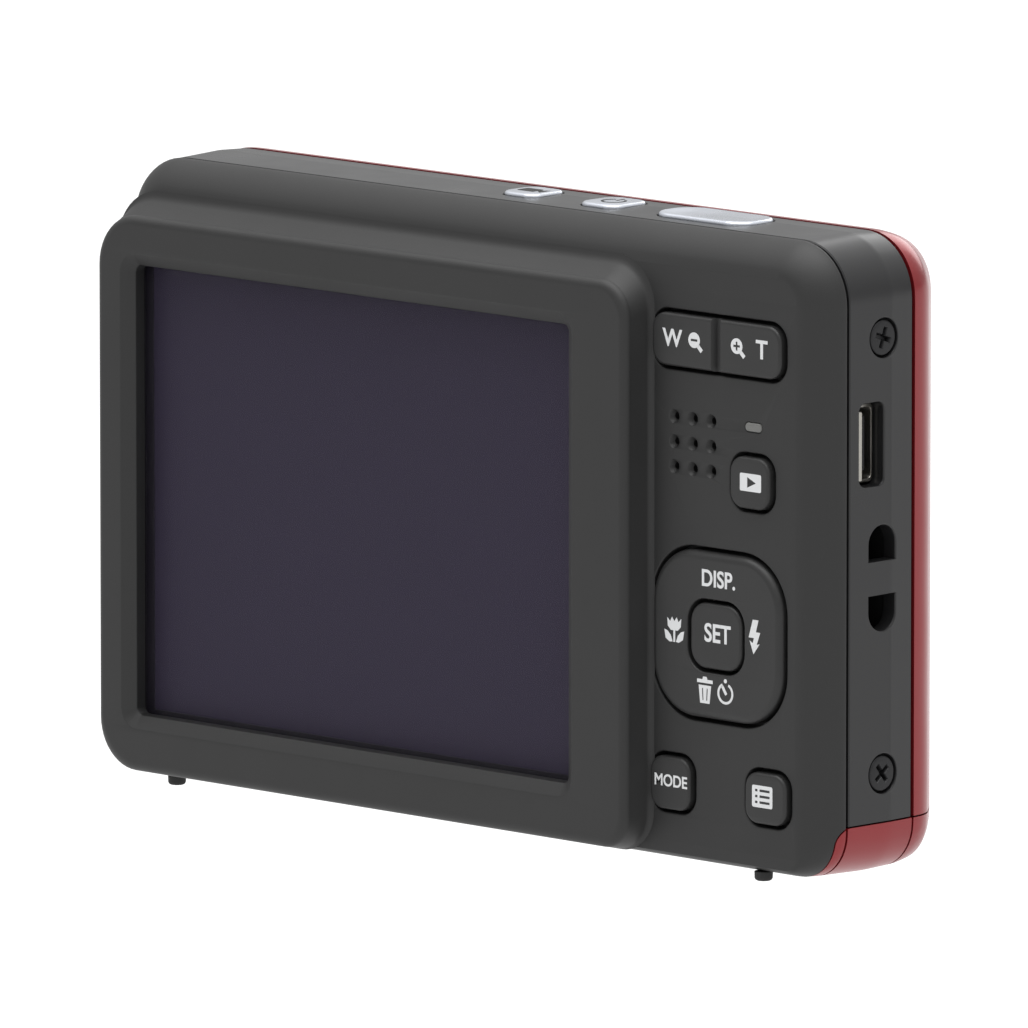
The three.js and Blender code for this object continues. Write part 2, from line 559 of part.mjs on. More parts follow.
const BASE_FRONT = -10.2;
const GEAR = { teeth: 63, pinionTeeth: 12, modul: 0.5, y0: 0.2, y1: 1.8 };

place("lens_trim_ring", turned([[18.45, -6.15], [19.8, -6.15], [19.6, -7.2], [18.6, BASE_FRONT],
  [18.1, BASE_FRONT],
  [18.1, -9.4], [18.45, -9.2]], 48), SILVER, lens);

// Fixed housing: a tube with a rear plate, the focus lens's boss and a notch for motor and pinion.
{
  const tube = turned([[16.8, -9.1], [17.9, -9.1], [18.2, -8.9], [18.2, 4.4], [5.2, 4.4], [5.2, -1.4],
    [6.3, -1.4],
    [6.3, 3.3], [16.8, 3.3]], 48);
  const notch = alongY(circle(MOTOR.x - LENS.x, MOTOR.z - LENS.z, 3.8, 24), -4.8, 2.2);
  place("lens_housing", cut(tube, notch), DARK_PLASTIC, lens);
}
// Turning cam ring with its teeth at the rear.
{
  const pinionAngle = -Math.PI / 4;
  const plain = join(ring(14.2, 15.6, -9.9, 0.1, 48), ring(14.2, 15.1, 1.9, 2.6, 48));
  const band = alongY(circle(0, 0, 15.2, 63), 0.05, 1.95).subtract(alongY(circle(0, 0, 14.2, 48), -1, 3));
  const teeth = alongY(gearOutline(GEAR.teeth, GEAR.modul), GEAR.y0, GEAR.y1)
    .subtract(alongY(circle(0, 0, 14.6, 48), -1, 3))
    .rotate([0, -THREE.MathUtils.radToDeg(pinionAngle), 0]);
  place("zoom_cam_ring", join(plain, band, teeth), DARK_PLASTIC, lens);
  const half = 180 / GEAR.pinionTeeth;
  const pinion = alongY(gearOutline(GEAR.pinionTeeth, GEAR.modul), GEAR.y0, GEAR.y1)
    .rotate([0, 45 + half, 0]);
  place("zoom_pinion", join(pinion, disc(0.5, -0.15, GEAR.y1, 10)), BRASS, root, [MOTOR.x, 0, MOTOR.z]);
  place("zoom_motor", disc(2.8, -4.4, -0.3, 20), STEEL, root, [MOTOR.x, 0, MOTOR.z]);
}
place("outer_barrel", turned([[12.7, -11.9], [13.0, -12.2], [13.6, -12.2], [13.9, -11.9], [13.9, -1.0],
  [12.7, -1.0]], 48), SILVER, lens);
place("inner_barrel", turned([[4.9, -14.0], [5.6, -14.35], [11.9, -14.35], [12.4, -13.85], [12.4, -2.6],
  [11.3, -2.6], [11.3, -8.4], [5.2, -8.4], [5.2, -9.2], [11.3, -9.2], [11.3, -13.3], [4.9, -13.3]], 48),
    SILVER, lens);

// Two barrier blades: a half disc on an arm, turning about a pin beside the aperture.
function blade(up) {
  const shape = new THREE.Shape();
  shape.moveTo(-4.8, 0.08);
  shape.lineTo(4.8, 0.08);
  shape.absarc(0, 0.08, 4.8, 0, Math.PI * 0.8, false);
  shape.lineTo(-7.6, 1.3);
  shape.lineTo(-7.6, 0.08);
  const flat = alongY(shape.getPoints(8), -12.9, -12.5);
  return up ? flat : flat.rotate([0, 180, 0]);
}
place("barrier_blade_upper", blade(true), BLACK_STEEL, lens);
place("barrier_blade_lower", blade(false), BLACK_STEEL, lens);

place("front_lens", turned([[0, -11.6], [2.6, -11.4], [5.0, -10.6], [5.0, -7.6], [3.0, -7.1],
  [0, -6.9]], 24, false),
  GLASS, lens);
place("focus_lens", turned([[0, -1.2], [2.6, -1.0], [5.0, -0.3], [5.0, 1.4], [0, 1.8]], 24, false),
  GLASS, lens);
place("image_sensor", box(-5, 5, 4.6, 5.6, -4, 4), DARK_PLASTIC, lens);
place("main_board", cut(box(-8.0, 44, 6.8, 7.6, 8.2, 54), box(-9, 3, 6, 8, 48, 55)), BOARD_GREEN);

// ---------------------------------------------------------------- power: cells, contacts, card, door
{
  const [a, b] = CELL.xs;
  const both = (radius, z0, z1) =>
    join(...CELL.xs.map((x) => alongZ(circle(x, CELL.y, radius, 28), z0, z1)));
  const walls = both(7.8, 6.2, 55.5).subtract(both(7.4, 5, 54.95));
  const filled = box(a, b, CELL.y - 7.4, CELL.y + 7.2, 55.0, 55.5);
  const behind = box(-60, 0, CELL.y + 7.3, 20, 0, 60);
  place("battery_chamber", cut(join(walls, filled), behind), DARK_PLASTIC);
  CELL.xs.forEach((x, i) => {
    const profile = [[0, 0], [3.2, 0], [3.4, 0.15], [7.0, 0.2], [7.25, 0.5], [7.25, 48.6], [6.9, 49.0],
      [2.8, 49.0],
      [2.75, 50.3], [2.5, 50.5], [0, 50.5]];
    // One cell stands nub up, the other nub down.
    const upright = turned(profile, 28, false).rotate([90, 0, 0]);
    const body = i === 0 ? upright : upright.rotate([180, 0, 0]).translate([0, 0, CELL.length]);
    place(`battery_cell_${i + 1}`, body, CELL_WRAP, root, [x, CELL.y, CELL.z0]);
  });
  // Top contacts: a flat leaf over the nub and a leaf pressed into a dome over the flat end.
  place("contact_positive", box(a - 3.5, a + 3.5, CELL.y - 3, CELL.y + 3, 54.1, 54.5), STEEL);
  place("contact_negative", join(box(b - 3.5, b + 3.5, CELL.y - 3, CELL.y + 3, 54.3, 54.6),
    turned([[0, -0.4], [1.2, -0.4], [2.2, 0.2], [0, 0.2]], 16, false).rotate([90, 0, 0])
      .translate([b, CELL.y, 54.3])), STEEL);
}
{
  // Memory card with its cut corner, standing behind the cells.
  const [x0, y0, z0] = [-38.0, 5.75, 4.0];
  const card = alongY([[0, 0], [24, 0], [24, 32], [4, 32],
    [0, 28]].map(([x, z]) => new THREE.Vector2(x, z)), 0, 2.1);
  place("memory_card", card, DARK_PLASTIC, root, [x0, y0, z0]);
  const socket = cut(box(-38.9, -13.1, 5.4, 7.75, 7.6, 37.2), box(-38.25, -13.75, 5.6, 9, 5, 36.4));
  place("card_socket", socket, STEEL);
}
// Where the hinge carrier's two arms reach the pin, along y.
const ARMS = [[-2.4, -1.0], [5.2, 6.6]];
function batteryDoor() {
  const outer = join(frontForm(0), rearShell(), loft([
    { y: FRONT_SEAM - 0.05, points: bodyOutline(-RIDGE_RISE / 2) },
    { y: REAR_SEAM - RIDGE_DEPTH, points: bodyOutline(-RIDGE_RISE) },
    { y: REAR_SEAM + 0.05, points: bodyOutline(0) },
  ])).intersect(doorRegion());
  const hollow = join(frontForm(-1.1), rearHollow(),
    alongY(bodyOutline(WALL), FRONT_SEAM - 0.5, REAR_SEAM + 0.2));
  const low = box(-60, 10, -20, 20, -2, FLOOR_Z + DOOR.floor);
  // Round the hinge edge about the pin so that the door can turn beside its neighbours.
  const { pinX, pinZ } = DOOR;
  const lower = box(pinX, 0, -20, 20, -2, pinZ).subtract(alongY(circle(pinX, pinZ, pinZ - FLOOR_Z, 32),
    -20, 20));
  const upper = box(pinX, 0, -20, 20, pinZ, 8).subtract(alongY(circle(pinX, pinZ, 3.3, 40), -20, 20));
  const pinHole = alongY(circle(pinX, pinZ, 0.55, 12), -4.2, 8.4);
  const arms = ARMS.map(([y0, y1]) => box(pinX - 1.4, 0, y0 - 0.2, y1 + 0.2, -2, 6));
  const knuckle = alongY(circle(pinX, pinZ, 1.0, 20), -0.6, 4.8);
  return cut(join(cut(outer, hollow.subtract(low)), knuckle), lower, upper, pinHole, ...arms);
}
place("battery_door", batteryDoor(), RED_PAINT);
place("door_hinge_pin", alongY(circle(DOOR.pinX, DOOR.pinZ, 0.45, 12), -4.0, 8.2), STEEL);
{
  const { pinX, pinZ } = DOOR;
  const plate = box(-8.1, -2.9, -2.4, 6.6, 1.65, 2.25);
  const arms = ARMS.map(([y0, y1]) =>
    join(alongY(circle(pinX, pinZ, 0.95, 20), y0, y1), box(pinX, -7.6, y0, y1, 1.65, 2.25)));
  const bore = alongY(circle(pinX, pinZ, 0.55, 12), -9, 9);
  place("door_carrier", cut(join(plate, ...arms), bore), DARK_PLASTIC);
}
place("door_contact_plate", alongZ(roundRect(-38, -13.4, CELL.y - 3.5, CELL.y + 3.5, 1.2, 3), 2.2, 2.6),
  STEEL);

// ---------------------------------------------------------------- top keys
const ROOF_KEY = { top: ROOF_Z + 0.4, flange: ROOF_Z - 2.0, skirt: ROOF_Z - 1.6 };
function topKey({ w, d, r }, hollow) {
  const body = join(
    alongZ(centred(0, 0, w, d, r, 0, 4), ROOF_KEY.flange + 0.1, ROOF_KEY.top - 0.3),
    alongZ(centred(0, 0, w, d, r, -0.25, 4), ROOF_KEY.top - 0.4, ROOF_KEY.top),
    alongZ(centred(0, 0, w, d, r, 0.5, 4), ROOF_KEY.flange, ROOF_KEY.skirt),
  );
  if (!hollow) return join(body, alongZ(circle(0, 0, 0.8, 12), ROOF_KEY.flange - 0.3,
    ROOF_KEY.flange + 0.2));
  const well = alongZ(circle(0, 0, 2.45, 20), ROOF_KEY.flange - 1, ROOF_KEY.top - 1.1);
  return join(cut(body, well), alongZ(circle(0, 0, 1.0, 16), ROOF_KEY.flange - 0.2, ROOF_KEY.top - 0.9));
}
for (const [name, k] of Object.entries(TOP_KEYS))
  place(name, topKey(k, name === "shutter_button"), SILVER, root, [k.x, TOP_KEY_Y, 0]);
const SWITCH_BOARD = { z0: 56.4, z1: 57.0 };
{
  const board = box(-32.5, 4, TOP_KEY_Y - 3, TOP_KEY_Y + 3, SWITCH_BOARD.z0, SWITCH_BOARD.z1);
  const switches = Object.values(TOP_KEYS).map((k) =>
    alongZ(circle(k.x, TOP_KEY_Y, 1.0, 12), SWITCH_BOARD.z1 - 0.1, SWITCH_BOARD.z1 + 0.25));
  place("top_switch_board", join(board, ...switches), BOARD_GREEN);
}
place("shutter_spring", coil(1.75, 0.16, 2.0, 3), STEEL, root,
  [TOP_KEYS.shutter_button.x, TOP_KEY_Y, SWITCH_BOARD.z1 + 0.08]);

// The origin lies on the surface that the feet stand on.
root.position.z = FOOT_HEIGHT;
export default root;
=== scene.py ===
"""Looks of the compact digital camera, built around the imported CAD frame."""
import json
import math

import bmesh
import bpy
from mathutils import Matrix, Vector
from mathutils.geometry import tessellate_polygon


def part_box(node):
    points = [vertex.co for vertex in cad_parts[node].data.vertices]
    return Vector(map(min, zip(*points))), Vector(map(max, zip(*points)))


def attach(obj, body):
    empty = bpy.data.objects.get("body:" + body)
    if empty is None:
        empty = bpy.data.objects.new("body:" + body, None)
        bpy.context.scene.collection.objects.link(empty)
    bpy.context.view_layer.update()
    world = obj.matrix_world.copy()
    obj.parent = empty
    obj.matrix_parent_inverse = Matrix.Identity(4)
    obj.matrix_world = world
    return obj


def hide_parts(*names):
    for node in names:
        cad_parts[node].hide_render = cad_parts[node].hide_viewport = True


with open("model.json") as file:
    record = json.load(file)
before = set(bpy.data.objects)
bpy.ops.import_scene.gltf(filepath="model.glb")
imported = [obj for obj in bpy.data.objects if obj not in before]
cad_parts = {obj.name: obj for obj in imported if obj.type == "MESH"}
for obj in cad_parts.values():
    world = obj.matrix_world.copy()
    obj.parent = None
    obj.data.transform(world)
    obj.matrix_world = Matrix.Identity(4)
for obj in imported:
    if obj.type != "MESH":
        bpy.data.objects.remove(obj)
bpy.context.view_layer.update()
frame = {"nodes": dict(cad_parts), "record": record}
MM = 0.001

# Sizes in mm that the frame doesn't hold.
BEZEL_RISE, BEZEL_WIDTH = 3.0, 70.6
FRONT_DEPTH = 5.0
WALL = 1.4
CORNER, LOW_CORNER = 5.8, 4.6
DOOR_GAP = 0.16
SPEAKER_PITCH, SPEAKER_HOLE = 2.37, 0.36
SCREW_WELL, SCREW_HEAD, SCREW_SHANK = 1.9, 1.7, 0.75
STRAP_WIDTH, STRAP_HEIGHT, STRAP_BAR = 3.6, 10.0, 1.6
TRIM_BORE = 18.45
LENS_RADIUS = 4.95
INK = 0.02

# The camera stands far off with a long lens. Angles in degrees, distances in metres.
AZIMUTH, ELEVATION = 43.95, 8.83
DISTANCE, FOCAL_MM = 1.875, 694.8


# ------------------------------------------------------------------ frame measures, in mm
def mm_box(node):
    lo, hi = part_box(node)
    return [v / MM for v in lo], [v / MM for v in hi]


def centre(node):
    lo, hi = mm_box(node)
    return [(a + b) / 2 for a, b in zip(lo, hi)]


def span(node, axis):
    """Low and high end of a node along one axis."""
    lo, hi = mm_box(node)
    k = "xyz".index(axis)
    return lo[k], hi[k]


REAR_LO, REAR_HI = mm_box("rear_cover")
FRAME_HI = mm_box("middle_frame")[1]
FRONT_LO, FRONT_HI = mm_box("front_cover")
HALF = REAR_HI[0]
FLOOR_Z = REAR_LO[2]
ROOF_Z = REAR_HI[2]
BEZEL = REAR_HI[1]
PANEL = BEZEL - BEZEL_RISE
REAR_SEAM = REAR_LO[1] - 0.05
FRONT_SEAM = FRONT_HI[1]
FRONT_FACE = FRONT_SEAM - FRONT_DEPTH
GRIP_FRONT = FRONT_LO[1]
DOOR_LO, DOOR_HI = mm_box("battery_door")
LENS_X, _, LENS_Z = centre("inner_barrel")


# ------------------------------------------------------------------ outlines
def rounded(x0, x1, z0, z1, radii, seg=10):
    """Rounded rectangle, anticlockwise; radii from the low right corner on."""
    a, b, c, d = radii if isinstance(radii, (list, tuple)) else (radii,) * 4
    corners = [(x1 - a, z0 + a, a, -90), (x1 - b, z1 - b, b, 0), (x0 + c, z1 - c, c, 90),
               (x0 + d, z0 + d, d, 180)]
    out = []
    for cx, cz, r, start in corners:
        for i in range(seg + 1):
            t = math.radians(start + 90 * i / seg)
            out.append((cx + r * math.cos(t), cz + r * math.sin(t)))
    return out


def rect(cx, cz, w, h, r, seg=8):
    """A function of growth that gives the outline of a rounded rectangle."""
    def grown(g=0.0):
        return rounded(cx - w / 2 - g, cx + w / 2 + g, cz - h / 2 - g, cz + h / 2 + g, max(r + g, 0.02),
                       seg)
    return grown


def round_hole(cx, cz, r, n=32):
    def grown(g=0.0):
        return [(cx + (r + g) * math.cos(2 * math.pi * i / n), cz + (r + g) * math.sin(2 * math.pi * i / n))
                for i in range(n)]
    return grown


def widened(shape, by):
    return lambda g=0.0: shape(by + g)


def cross_hole(cx, cz, reach, half):
    """A plus shape for a cross-head recess."""
    def grown(g=0.0):
        a, b = reach + g, half + g
        return [(cx + x, cz + z) for x, z in [(b, -a), (b, -b), (a, -b), (a, b), (b, b), (b, a), (-b, a),
                                              (-b, b), (-a, b), (-a, -b), (-b, -b), (-b, -a)]]
    return grown


def body_outline(inset, low=None, seg=14):
    low = inset if low is None else low
    top, bottom = max(CORNER - inset, 0.4), max(LOW_CORNER - inset, 0.4)
    return rounded(-HALF + inset, HALF - inset, FLOOR_Z + low, ROOF_Z - inset, [bottom, top, top, bottom],
                   seg)


# ------------------------------------------------------------------ mesh building
def link(obj):
    bpy.context.scene.collection.objects.link(obj)


class Builder:
    """Collects rings of points and the faces between them. Rings are stacked along axis."""

    def __init__(self, axis="y"):
        self.axis, self.points, self.faces = axis, [], []

    def place(self, u, v, w):
        return {"y": (u, w, v), "z": (u, v, w), "x": (w, u, v)}[self.axis]

    def ring(self, outline, level):
        first = len(self.points)
        self.points += [self.place(u, v, level) for u, v in outline]
        return list(range(first, len(self.points)))

    def bridge(self, a, b):
        n = len(a)
        self.faces += [(a[i], a[(i + 1) % n], b[(i + 1) % n], b[i]) for i in range(n)]

    def stack(self, rings):
        """Rings as (outline, level); gives the first and last ring's points."""
        made = [self.ring(*r) for r in rings]
        for a, b in zip(made, made[1:]):
            self.bridge(a, b)
        return made[0], made[-1]

    def solid(self, rings):
        """Rings with a flat face at both ends."""
        for end in self.stack(rings):
            self.fill([end])

    def sheet(self, loops, level, half):
        """One outline with holes, as a thin plate about its level."""
        made = [self.stack([(loop, level - half), (loop, level + half)]) for loop in loops]
        self.fill([top for _, top in made])
        self.fill([low for low, _ in made])

    def fill(self, loops):
        """Fills one outline with holes, all in one plane."""
        flat = [Vector(self.points[i]) for loop in loops for i in loop]
        index = [i for loop in loops for i in loop]
        chains, start = [], 0
        for loop in loops:
            chains.append(flat[start:start + len(loop)])
            start += len(loop)
        self.faces += [tuple(index[i] for i in t) for t in tessellate_polygon(chains)]

    def make(self, name, smooth=True):
        mesh = bpy.data.meshes.new(name)
        mesh.from_pydata([tuple(c * MM for c in p) for p in self.points], [], self.faces)
        bm = bmesh.new()
        bm.from_mesh(mesh)
        bmesh.ops.remove_doubles(bm, verts=bm.verts, dist=1e-7)
        bmesh.ops.recalc_face_normals(bm, faces=bm.faces)
        bm.to_mesh(mesh)
        bm.free()
        obj = bpy.data.objects.new(name, mesh)
        link(obj)
        if smooth:
            shade(obj)
        return obj


def shade(obj, angle=40.0):
    """Smooth shading with sharp edges kept, and flat faces given the larger weight."""
    mesh = obj.data
    mesh.shade_smooth()
    bm = bmesh.new()
    bm.from_mesh(mesh)
    limit = math.radians(angle)
    for e in bm.edges:
        e.smooth = not (len(e.link_faces) == 2 and e.calc_face_angle(0) > limit)
    bm.to_mesh(mesh)
    bm.free()
    weighted = obj.modifiers.new("weighted", "WEIGHTED_NORMAL")
    weighted.keep_sharp = True


def lip_rings(shape, level, lip, down, n, side, sign):
    rings = []
    for i in range(n + 1):
        t = math.pi / 2 * i / n
        rings.append((shape(side * (lip - lip * math.sin(t))), level - sign * (lip - lip * math.cos(t))))
    return rings + [(shape(0), level - sign * down)]


def outer_lip(shape, level, lip, down, n=4, sign=1):
    """Rings of a rounded edge round a raised form, from its foot up to its top face."""
    return lip_rings(shape, level, lip, down, n, -1, sign)[::-1]


def hole_lip(shape, level, lip, down, n=3):
    """Rings of a rounded edge round a hole, from the face inwards and down."""
    return lip_rings(shape, level, lip, down, n, 1, 1)


def lathe(name, profile, n, axis="y", at=(0, 0), solid=False):
    """Turned form: a profile of (radius, level) that closes on itself, or with flat ends if solid."""
    b = Builder(axis)
    first, last = b.stack([(round_hole(*at, r, n)(), level) for r, level in profile])
    if solid:
        b.faces += [tuple(first), tuple(last)]
    else:
        b.bridge(last, first)
    return b.make(name)


def prism(name, outline, lo, hi, axis="y"):
    b = Builder(axis)
    b.solid([(outline, lo), (outline, hi)])
    return b.make(name, smooth=False)


def flared(b, shape, outside, surface, flare, inside):
    """A cutter whose mouth widens by `flare` at the surface. Runs from outside to inside along the axis."""
    sign = 1 if outside > inside else -1
    b.solid([(shape(flare + abs(outside - surface)), outside), (shape(flare), surface),
             (shape(flare * 0.3), surface - sign * flare * 0.3), (shape(0), surface - sign * flare),
             (shape(0), inside)])


def apply_modifiers(obj):
    """Turns the object's modifiers into its mesh."""
    dg = bpy.context.evaluated_depsgraph_get()
    mesh = bpy.data.meshes.new_from_object(obj.evaluated_get(dg))
    obj.modifiers.clear()
    old = obj.data
    obj.data = mesh
    bpy.data.meshes.remove(old)


def boolean(obj, tool, operation="DIFFERENCE", drop=True):
    mod = obj.modifiers.new("bool", "BOOLEAN")
    mod.operation, mod.object, mod.solver = operation, tool, "EXACT"
    apply_modifiers(obj)
    if drop:
        bpy.data.objects.remove(tool)
    return obj


# ------------------------------------------------------------------ materials
def srgb(r, g, b):
    return tuple(((c / 255 + 0.055) / 1.055) ** 2.4 if c > 10 else c / 255 / 12.92
                 for c in (r, g, b)) + (1.0,)


def material(name, colour, rough=0.5, metal=0.0, grain=0.0, grain_size=0.25, mottle=0.12, rough_swing=0.08,
             sockets=None, scratches=0.0):
    """A moulded, painted or plated surface: colour that wanders a little, uneven gloss, fine grain and
    hairlines. grain is the bump's height and grain_size its width, both in mm."""
    mat = bpy.data.materials.new(name)
    mat.use_nodes = True
    nodes, links = mat.node_tree.nodes, mat.node_tree.links
    bsdf = nodes["Principled BSDF"]

    def add(kind, inputs, **settings):
        """A node with each of its inputs wired to an output or set to a number."""
        node = nodes.new("ShaderNode" + kind)
        for key, value in settings.items():
            setattr(node, key, value)
        for key, value in inputs.items():
            if isinstance(value, bpy.types.NodeSocket):
                links.new(value, node.inputs[key])
            else:
                node.inputs[key].default_value = value
        return node

    def noise(size, detail, vector):
        return add("TexNoise", {"Vector": vector, "Scale": 1000.0 / size, "Detail": detail}).outputs["Fac"]

    coords = add("TexCoord", {}).outputs["Object"]
    broad, fine = noise(9.0, 3.0, coords), noise(grain_size, 2.0, coords)
    share = add("Math", {0: fine, 1: 0.4}, operation="MULTIPLY").outputs[0]
    blend = add("Math", {0: broad, 1: 0.6, 2: share}, operation="MULTIPLY_ADD").outputs[0]
    ramp = add("ValToRGB", {"Fac": blend})
    for stop, place, change in zip(ramp.color_ramp.elements, (0.3, 0.7), (1 - mottle, 1 + mottle)):
        stop.position = place
        stop.color = tuple(min(c * change, 1.0) for c in colour[:3]) + (1.0,)
    links.new(ramp.outputs["Color"], bsdf.inputs["Base Color"])
    gloss = add("MapRange", {"Value": broad, "From Min": 0.3, "From Max": 0.7,
                             "To Min": max(rough - rough_swing, 0.02),
                             "To Max": min(rough + rough_swing, 1.0)})
    links.new(gloss.outputs["Result"], bsdf.inputs["Roughness"])
    height = fine
    if scratches:
        lines = add("Mapping", {"Vector": coords, "Rotation": (0.4, 0.9, 0.6), "Scale": (0.03, 1.0, 0.05)})
        scratch = noise(0.35, 1.0, lines.outputs["Vector"])
        keep = add("MapRange", {"Value": scratch, "From Min": 0.68, "From Max": 0.74, "To Max": -scratches})
        height = add("Math", {0: height, 1: keep.outputs["Result"]}, operation="ADD").outputs[0]
    if grain:
        bump = add("Bump", {"Strength": 1.0, "Distance": grain * MM, "Height": height})
        links.new(bump.outputs["Normal"], bsdf.inputs["Normal"])
    bsdf.inputs["Metallic"].default_value = metal
    for key, value in (sockets or {}).items():
        bsdf.inputs[key].default_value = value
    return mat


def clear_material(name, tint, rough, ior):
    return material(name, tint, rough=rough, mottle=0.02, rough_swing=rough * 0.6, grain_size=0.6,
                    sockets={"Transmission Weight": 1.0, "IOR": ior})


M = {
    "rear_shell": material("rear_shell_paint", srgb(33, 33, 33), rough=0.52, grain=0.006, grain_size=0.16,
                           mottle=0.08, rough_swing=0.04, sockets={"Specular IOR Level": 0.4}),
    "frame_shell": material("frame_paint", srgb(30, 30, 31), rough=0.3, grain=0.002, grain_size=0.22,
                            mottle=0.08, rough_swing=0.04, scratches=0.15,
                            sockets={"Specular IOR Level": 0.42}),
    "front_paint": material("red_metallic_paint", srgb(128, 25, 30), rough=0.36, metal=0.45, grain=0.0035,
                            grain_size=0.09, mottle=0.05, rough_swing=0.05,
                            sockets={"Coat Weight": 0.3, "Coat Roughness": 0.12}),
    "key_plastic": material("key_plastic", srgb(34, 34, 34), rough=0.45, grain=0.003, grain_size=0.14,
                            mottle=0.08, sockets={"Specular IOR Level": 0.4}),
    "inner_plastic": material("inner_plastic", srgb(14, 14, 15), rough=0.55, grain=0.005, grain_size=0.25),
    "silver": material("silver_plating", srgb(202, 206, 214), rough=0.28, metal=0.9, grain=0.001,
                       grain_size=0.3, mottle=0.04, scratches=0.3),
    "barrel_metal": material("barrel_metal", srgb(176, 179, 184), rough=0.3, metal=0.95, grain=0.002,
                             grain_size=0.2, mottle=0.05, scratches=0.2),
    "barrel_ring": material("barrel_ring", srgb(58, 59, 61), rough=0.35, metal=0.8, grain=0.002,
                            grain_size=0.15),
    "steel": material("pressed_steel", srgb(168, 165, 158), rough=0.36, metal=1.0, grain=0.002,
                      grain_size=0.3, mottle=0.1, scratches=0.5),
    "black_screw": material("black_screw", srgb(44, 44, 45), rough=0.4, metal=0.75, grain=0.003,
                            grain_size=0.2, mottle=0.25, scratches=0.4),
    "brass": material("turned_brass", srgb(190, 150, 84), rough=0.3, metal=1.0, grain=0.002, grain_size=0.2,
                      mottle=0.12, scratches=0.4),
    "clear": clear_material("clear_window", srgb(250, 250, 252), rough=0.015, ior=1.12),
    "screen_window": material("screen_window", srgb(52, 47, 62), rough=0.3, mottle=0.01, rough_swing=0.02,
                              sockets={"Alpha": 0.12, "Specular IOR Level": 0.2}),
    "lens_glass": clear_material("coated_glass", srgb(214, 222, 250), rough=0.01, ior=1.6),
    "screen": material("display_glass", srgb(50, 45, 61), rough=0.5, mottle=0.01, rough_swing=0.01,
                       sockets={"Specular IOR Level": 0.1}),
    "board": material("board_mask", srgb(20, 86, 48), rough=0.4, grain=0.01, grain_size=1.1, mottle=0.35),
    "rubber": material("foot_rubber", srgb(28, 28, 28), rough=0.8, grain=0.01, grain_size=0.2, mottle=0.2),
    "cell": material("cell_wrap", srgb(150, 154, 160), rough=0.32, metal=0.7, grain=0.001, grain_size=0.5,
                     mottle=0.06),
    "light_guide": material("light_guide", srgb(98, 98, 96), rough=0.35, grain=0.002, grain_size=0.3),
    "legend": material("legend_ink", srgb(204, 205, 206), rough=0.5, grain=0.001, grain_size=0.1,
                       mottle=0.03),
    # Near-black: print on the display's mask and the top keys' marks, and painted shade on the seam tongues.
    "black_print_and_seam_shade": material("black_print_and_painted_seam_shade", srgb(7, 7, 7), rough=0.7, grain=0.002, grain_size=0.3),
}


def dress(obj, key, body="camera_body", nodes=(), slot=None):
    """Gives a piece its material and body, and hides the CAD nodes it stands for."""
    slot = slot or key
    obj.data.materials.clear()
    obj.data.materials.append(M[key])
    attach(obj, body)
    if nodes:
        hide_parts(*nodes)


# ------------------------------------------------------------------ key shapes, from the CAD boxes
def centred(node, w, h, r, seg=8):
    x, _, z = centre(node)
    return rect(x, z, w, h, r, seg)


def node_rect(node, r, seg):
    """The outline of a node's own box, seen from behind."""
    (x0, x1), (z0, z1) = span(node, "x"), span(node, "z")
    return rect((x0 + x1) / 2, (z0 + z1) / 2, x1 - x0, z1 - z0, r, seg)


def view_rect(wide, high, r, seg, shift=0.0):
    """The picture area's outline, wider and higher by the given amounts."""
    x0, x1, z0, z1 = VIEW
    return rect((x0 + x1) / 2 + shift, (z0 + z1) / 2, x1 - x0 + wide, z1 - z0 + high, r, seg)


KEY_GAP = 0.36
KEY_TOP = PANEL + 0.5
KEY_LIP, KEY_SIDE = 0.34, 0.9
PLAY = centred("play_button", 5.04, 4.87, 1.5)
MODE = centred("mode_button", 5.13, 5.03, 1.5)
MENU = centred("menu_button", 5.23, 4.85, 1.5)
SET = centred("set_button", 6.58, 6.23, 1.9)
PAD = centred("navigation_pad", 16.6, 15.82, 5.2, 14)
ROCKER = centred("zoom_rocker", 16.5, 5.0, 1.6)
SPEAKER_X, _, SPEAKER_Z = centre("speaker")
WINDOW_LO, WINDOW_HI = mm_box("display_window")
VIEW = (WINDOW_LO[0] + 1.3, WINDOW_HI[0] - 1.6, WINDOW_LO[2] + 1.4, WINDOW_HI[2] - 1.4)


def door_region(grow, name="door_region"):
    """Block that holds what belongs to the door: the low corner on the grip's side."""
    side = rounded(-22, DOOR_HI[1] + grow, -3, DOOR_HI[2] + grow, [0.05, 1.6 + grow, 0.05, 0.05], 8)
    return prism(name, side, DOOR_LO[0] - 4, DOOR_HI[0] + grow, axis="x")


def clear_door(obj):
    """Cuts a body piece free of the door, with a chamfer where the door's edge swings past."""
    boolean(obj, door_region(DOOR_GAP))
    edge = DOOR_HI[0]
    chamfer = [(edge - 1, FLOOR_Z - 1), (edge + 0.8, FLOOR_Z - 1), (edge + DOOR_GAP, FLOOR_Z + 0.9),
               (edge - 1, FLOOR_Z + 0.9)]
    boolean(obj, prism("door_chamfer", chamfer, -20, DOOR_HI[1] + DOOR_GAP))


# ------------------------------------------------------------------ rear cover
def bevel_rings(steps=14):
    """The rear cover's rounded bevel, from the seam to the key panel."""
    rings = []
    for i in range(steps + 1):
        t = i / steps
        curve = 1 - (1 - t ** 1.5) ** (1 / 1.5)
        rings.append((body_outline(3.4 * curve, 0.9 * curve),
                      REAR_SEAM + 0.25 + (PANEL - REAR_SEAM - 0.25) * t))
    return rings


def speaker_shapes():
    return [round_hole(SPEAKER_X + i * SPEAKER_PITCH, SPEAKER_Z + k * SPEAKER_PITCH, SPEAKER_HOLE, 20)
            for i in (-1, 0, 1) for k in (-1, 0, 1)]


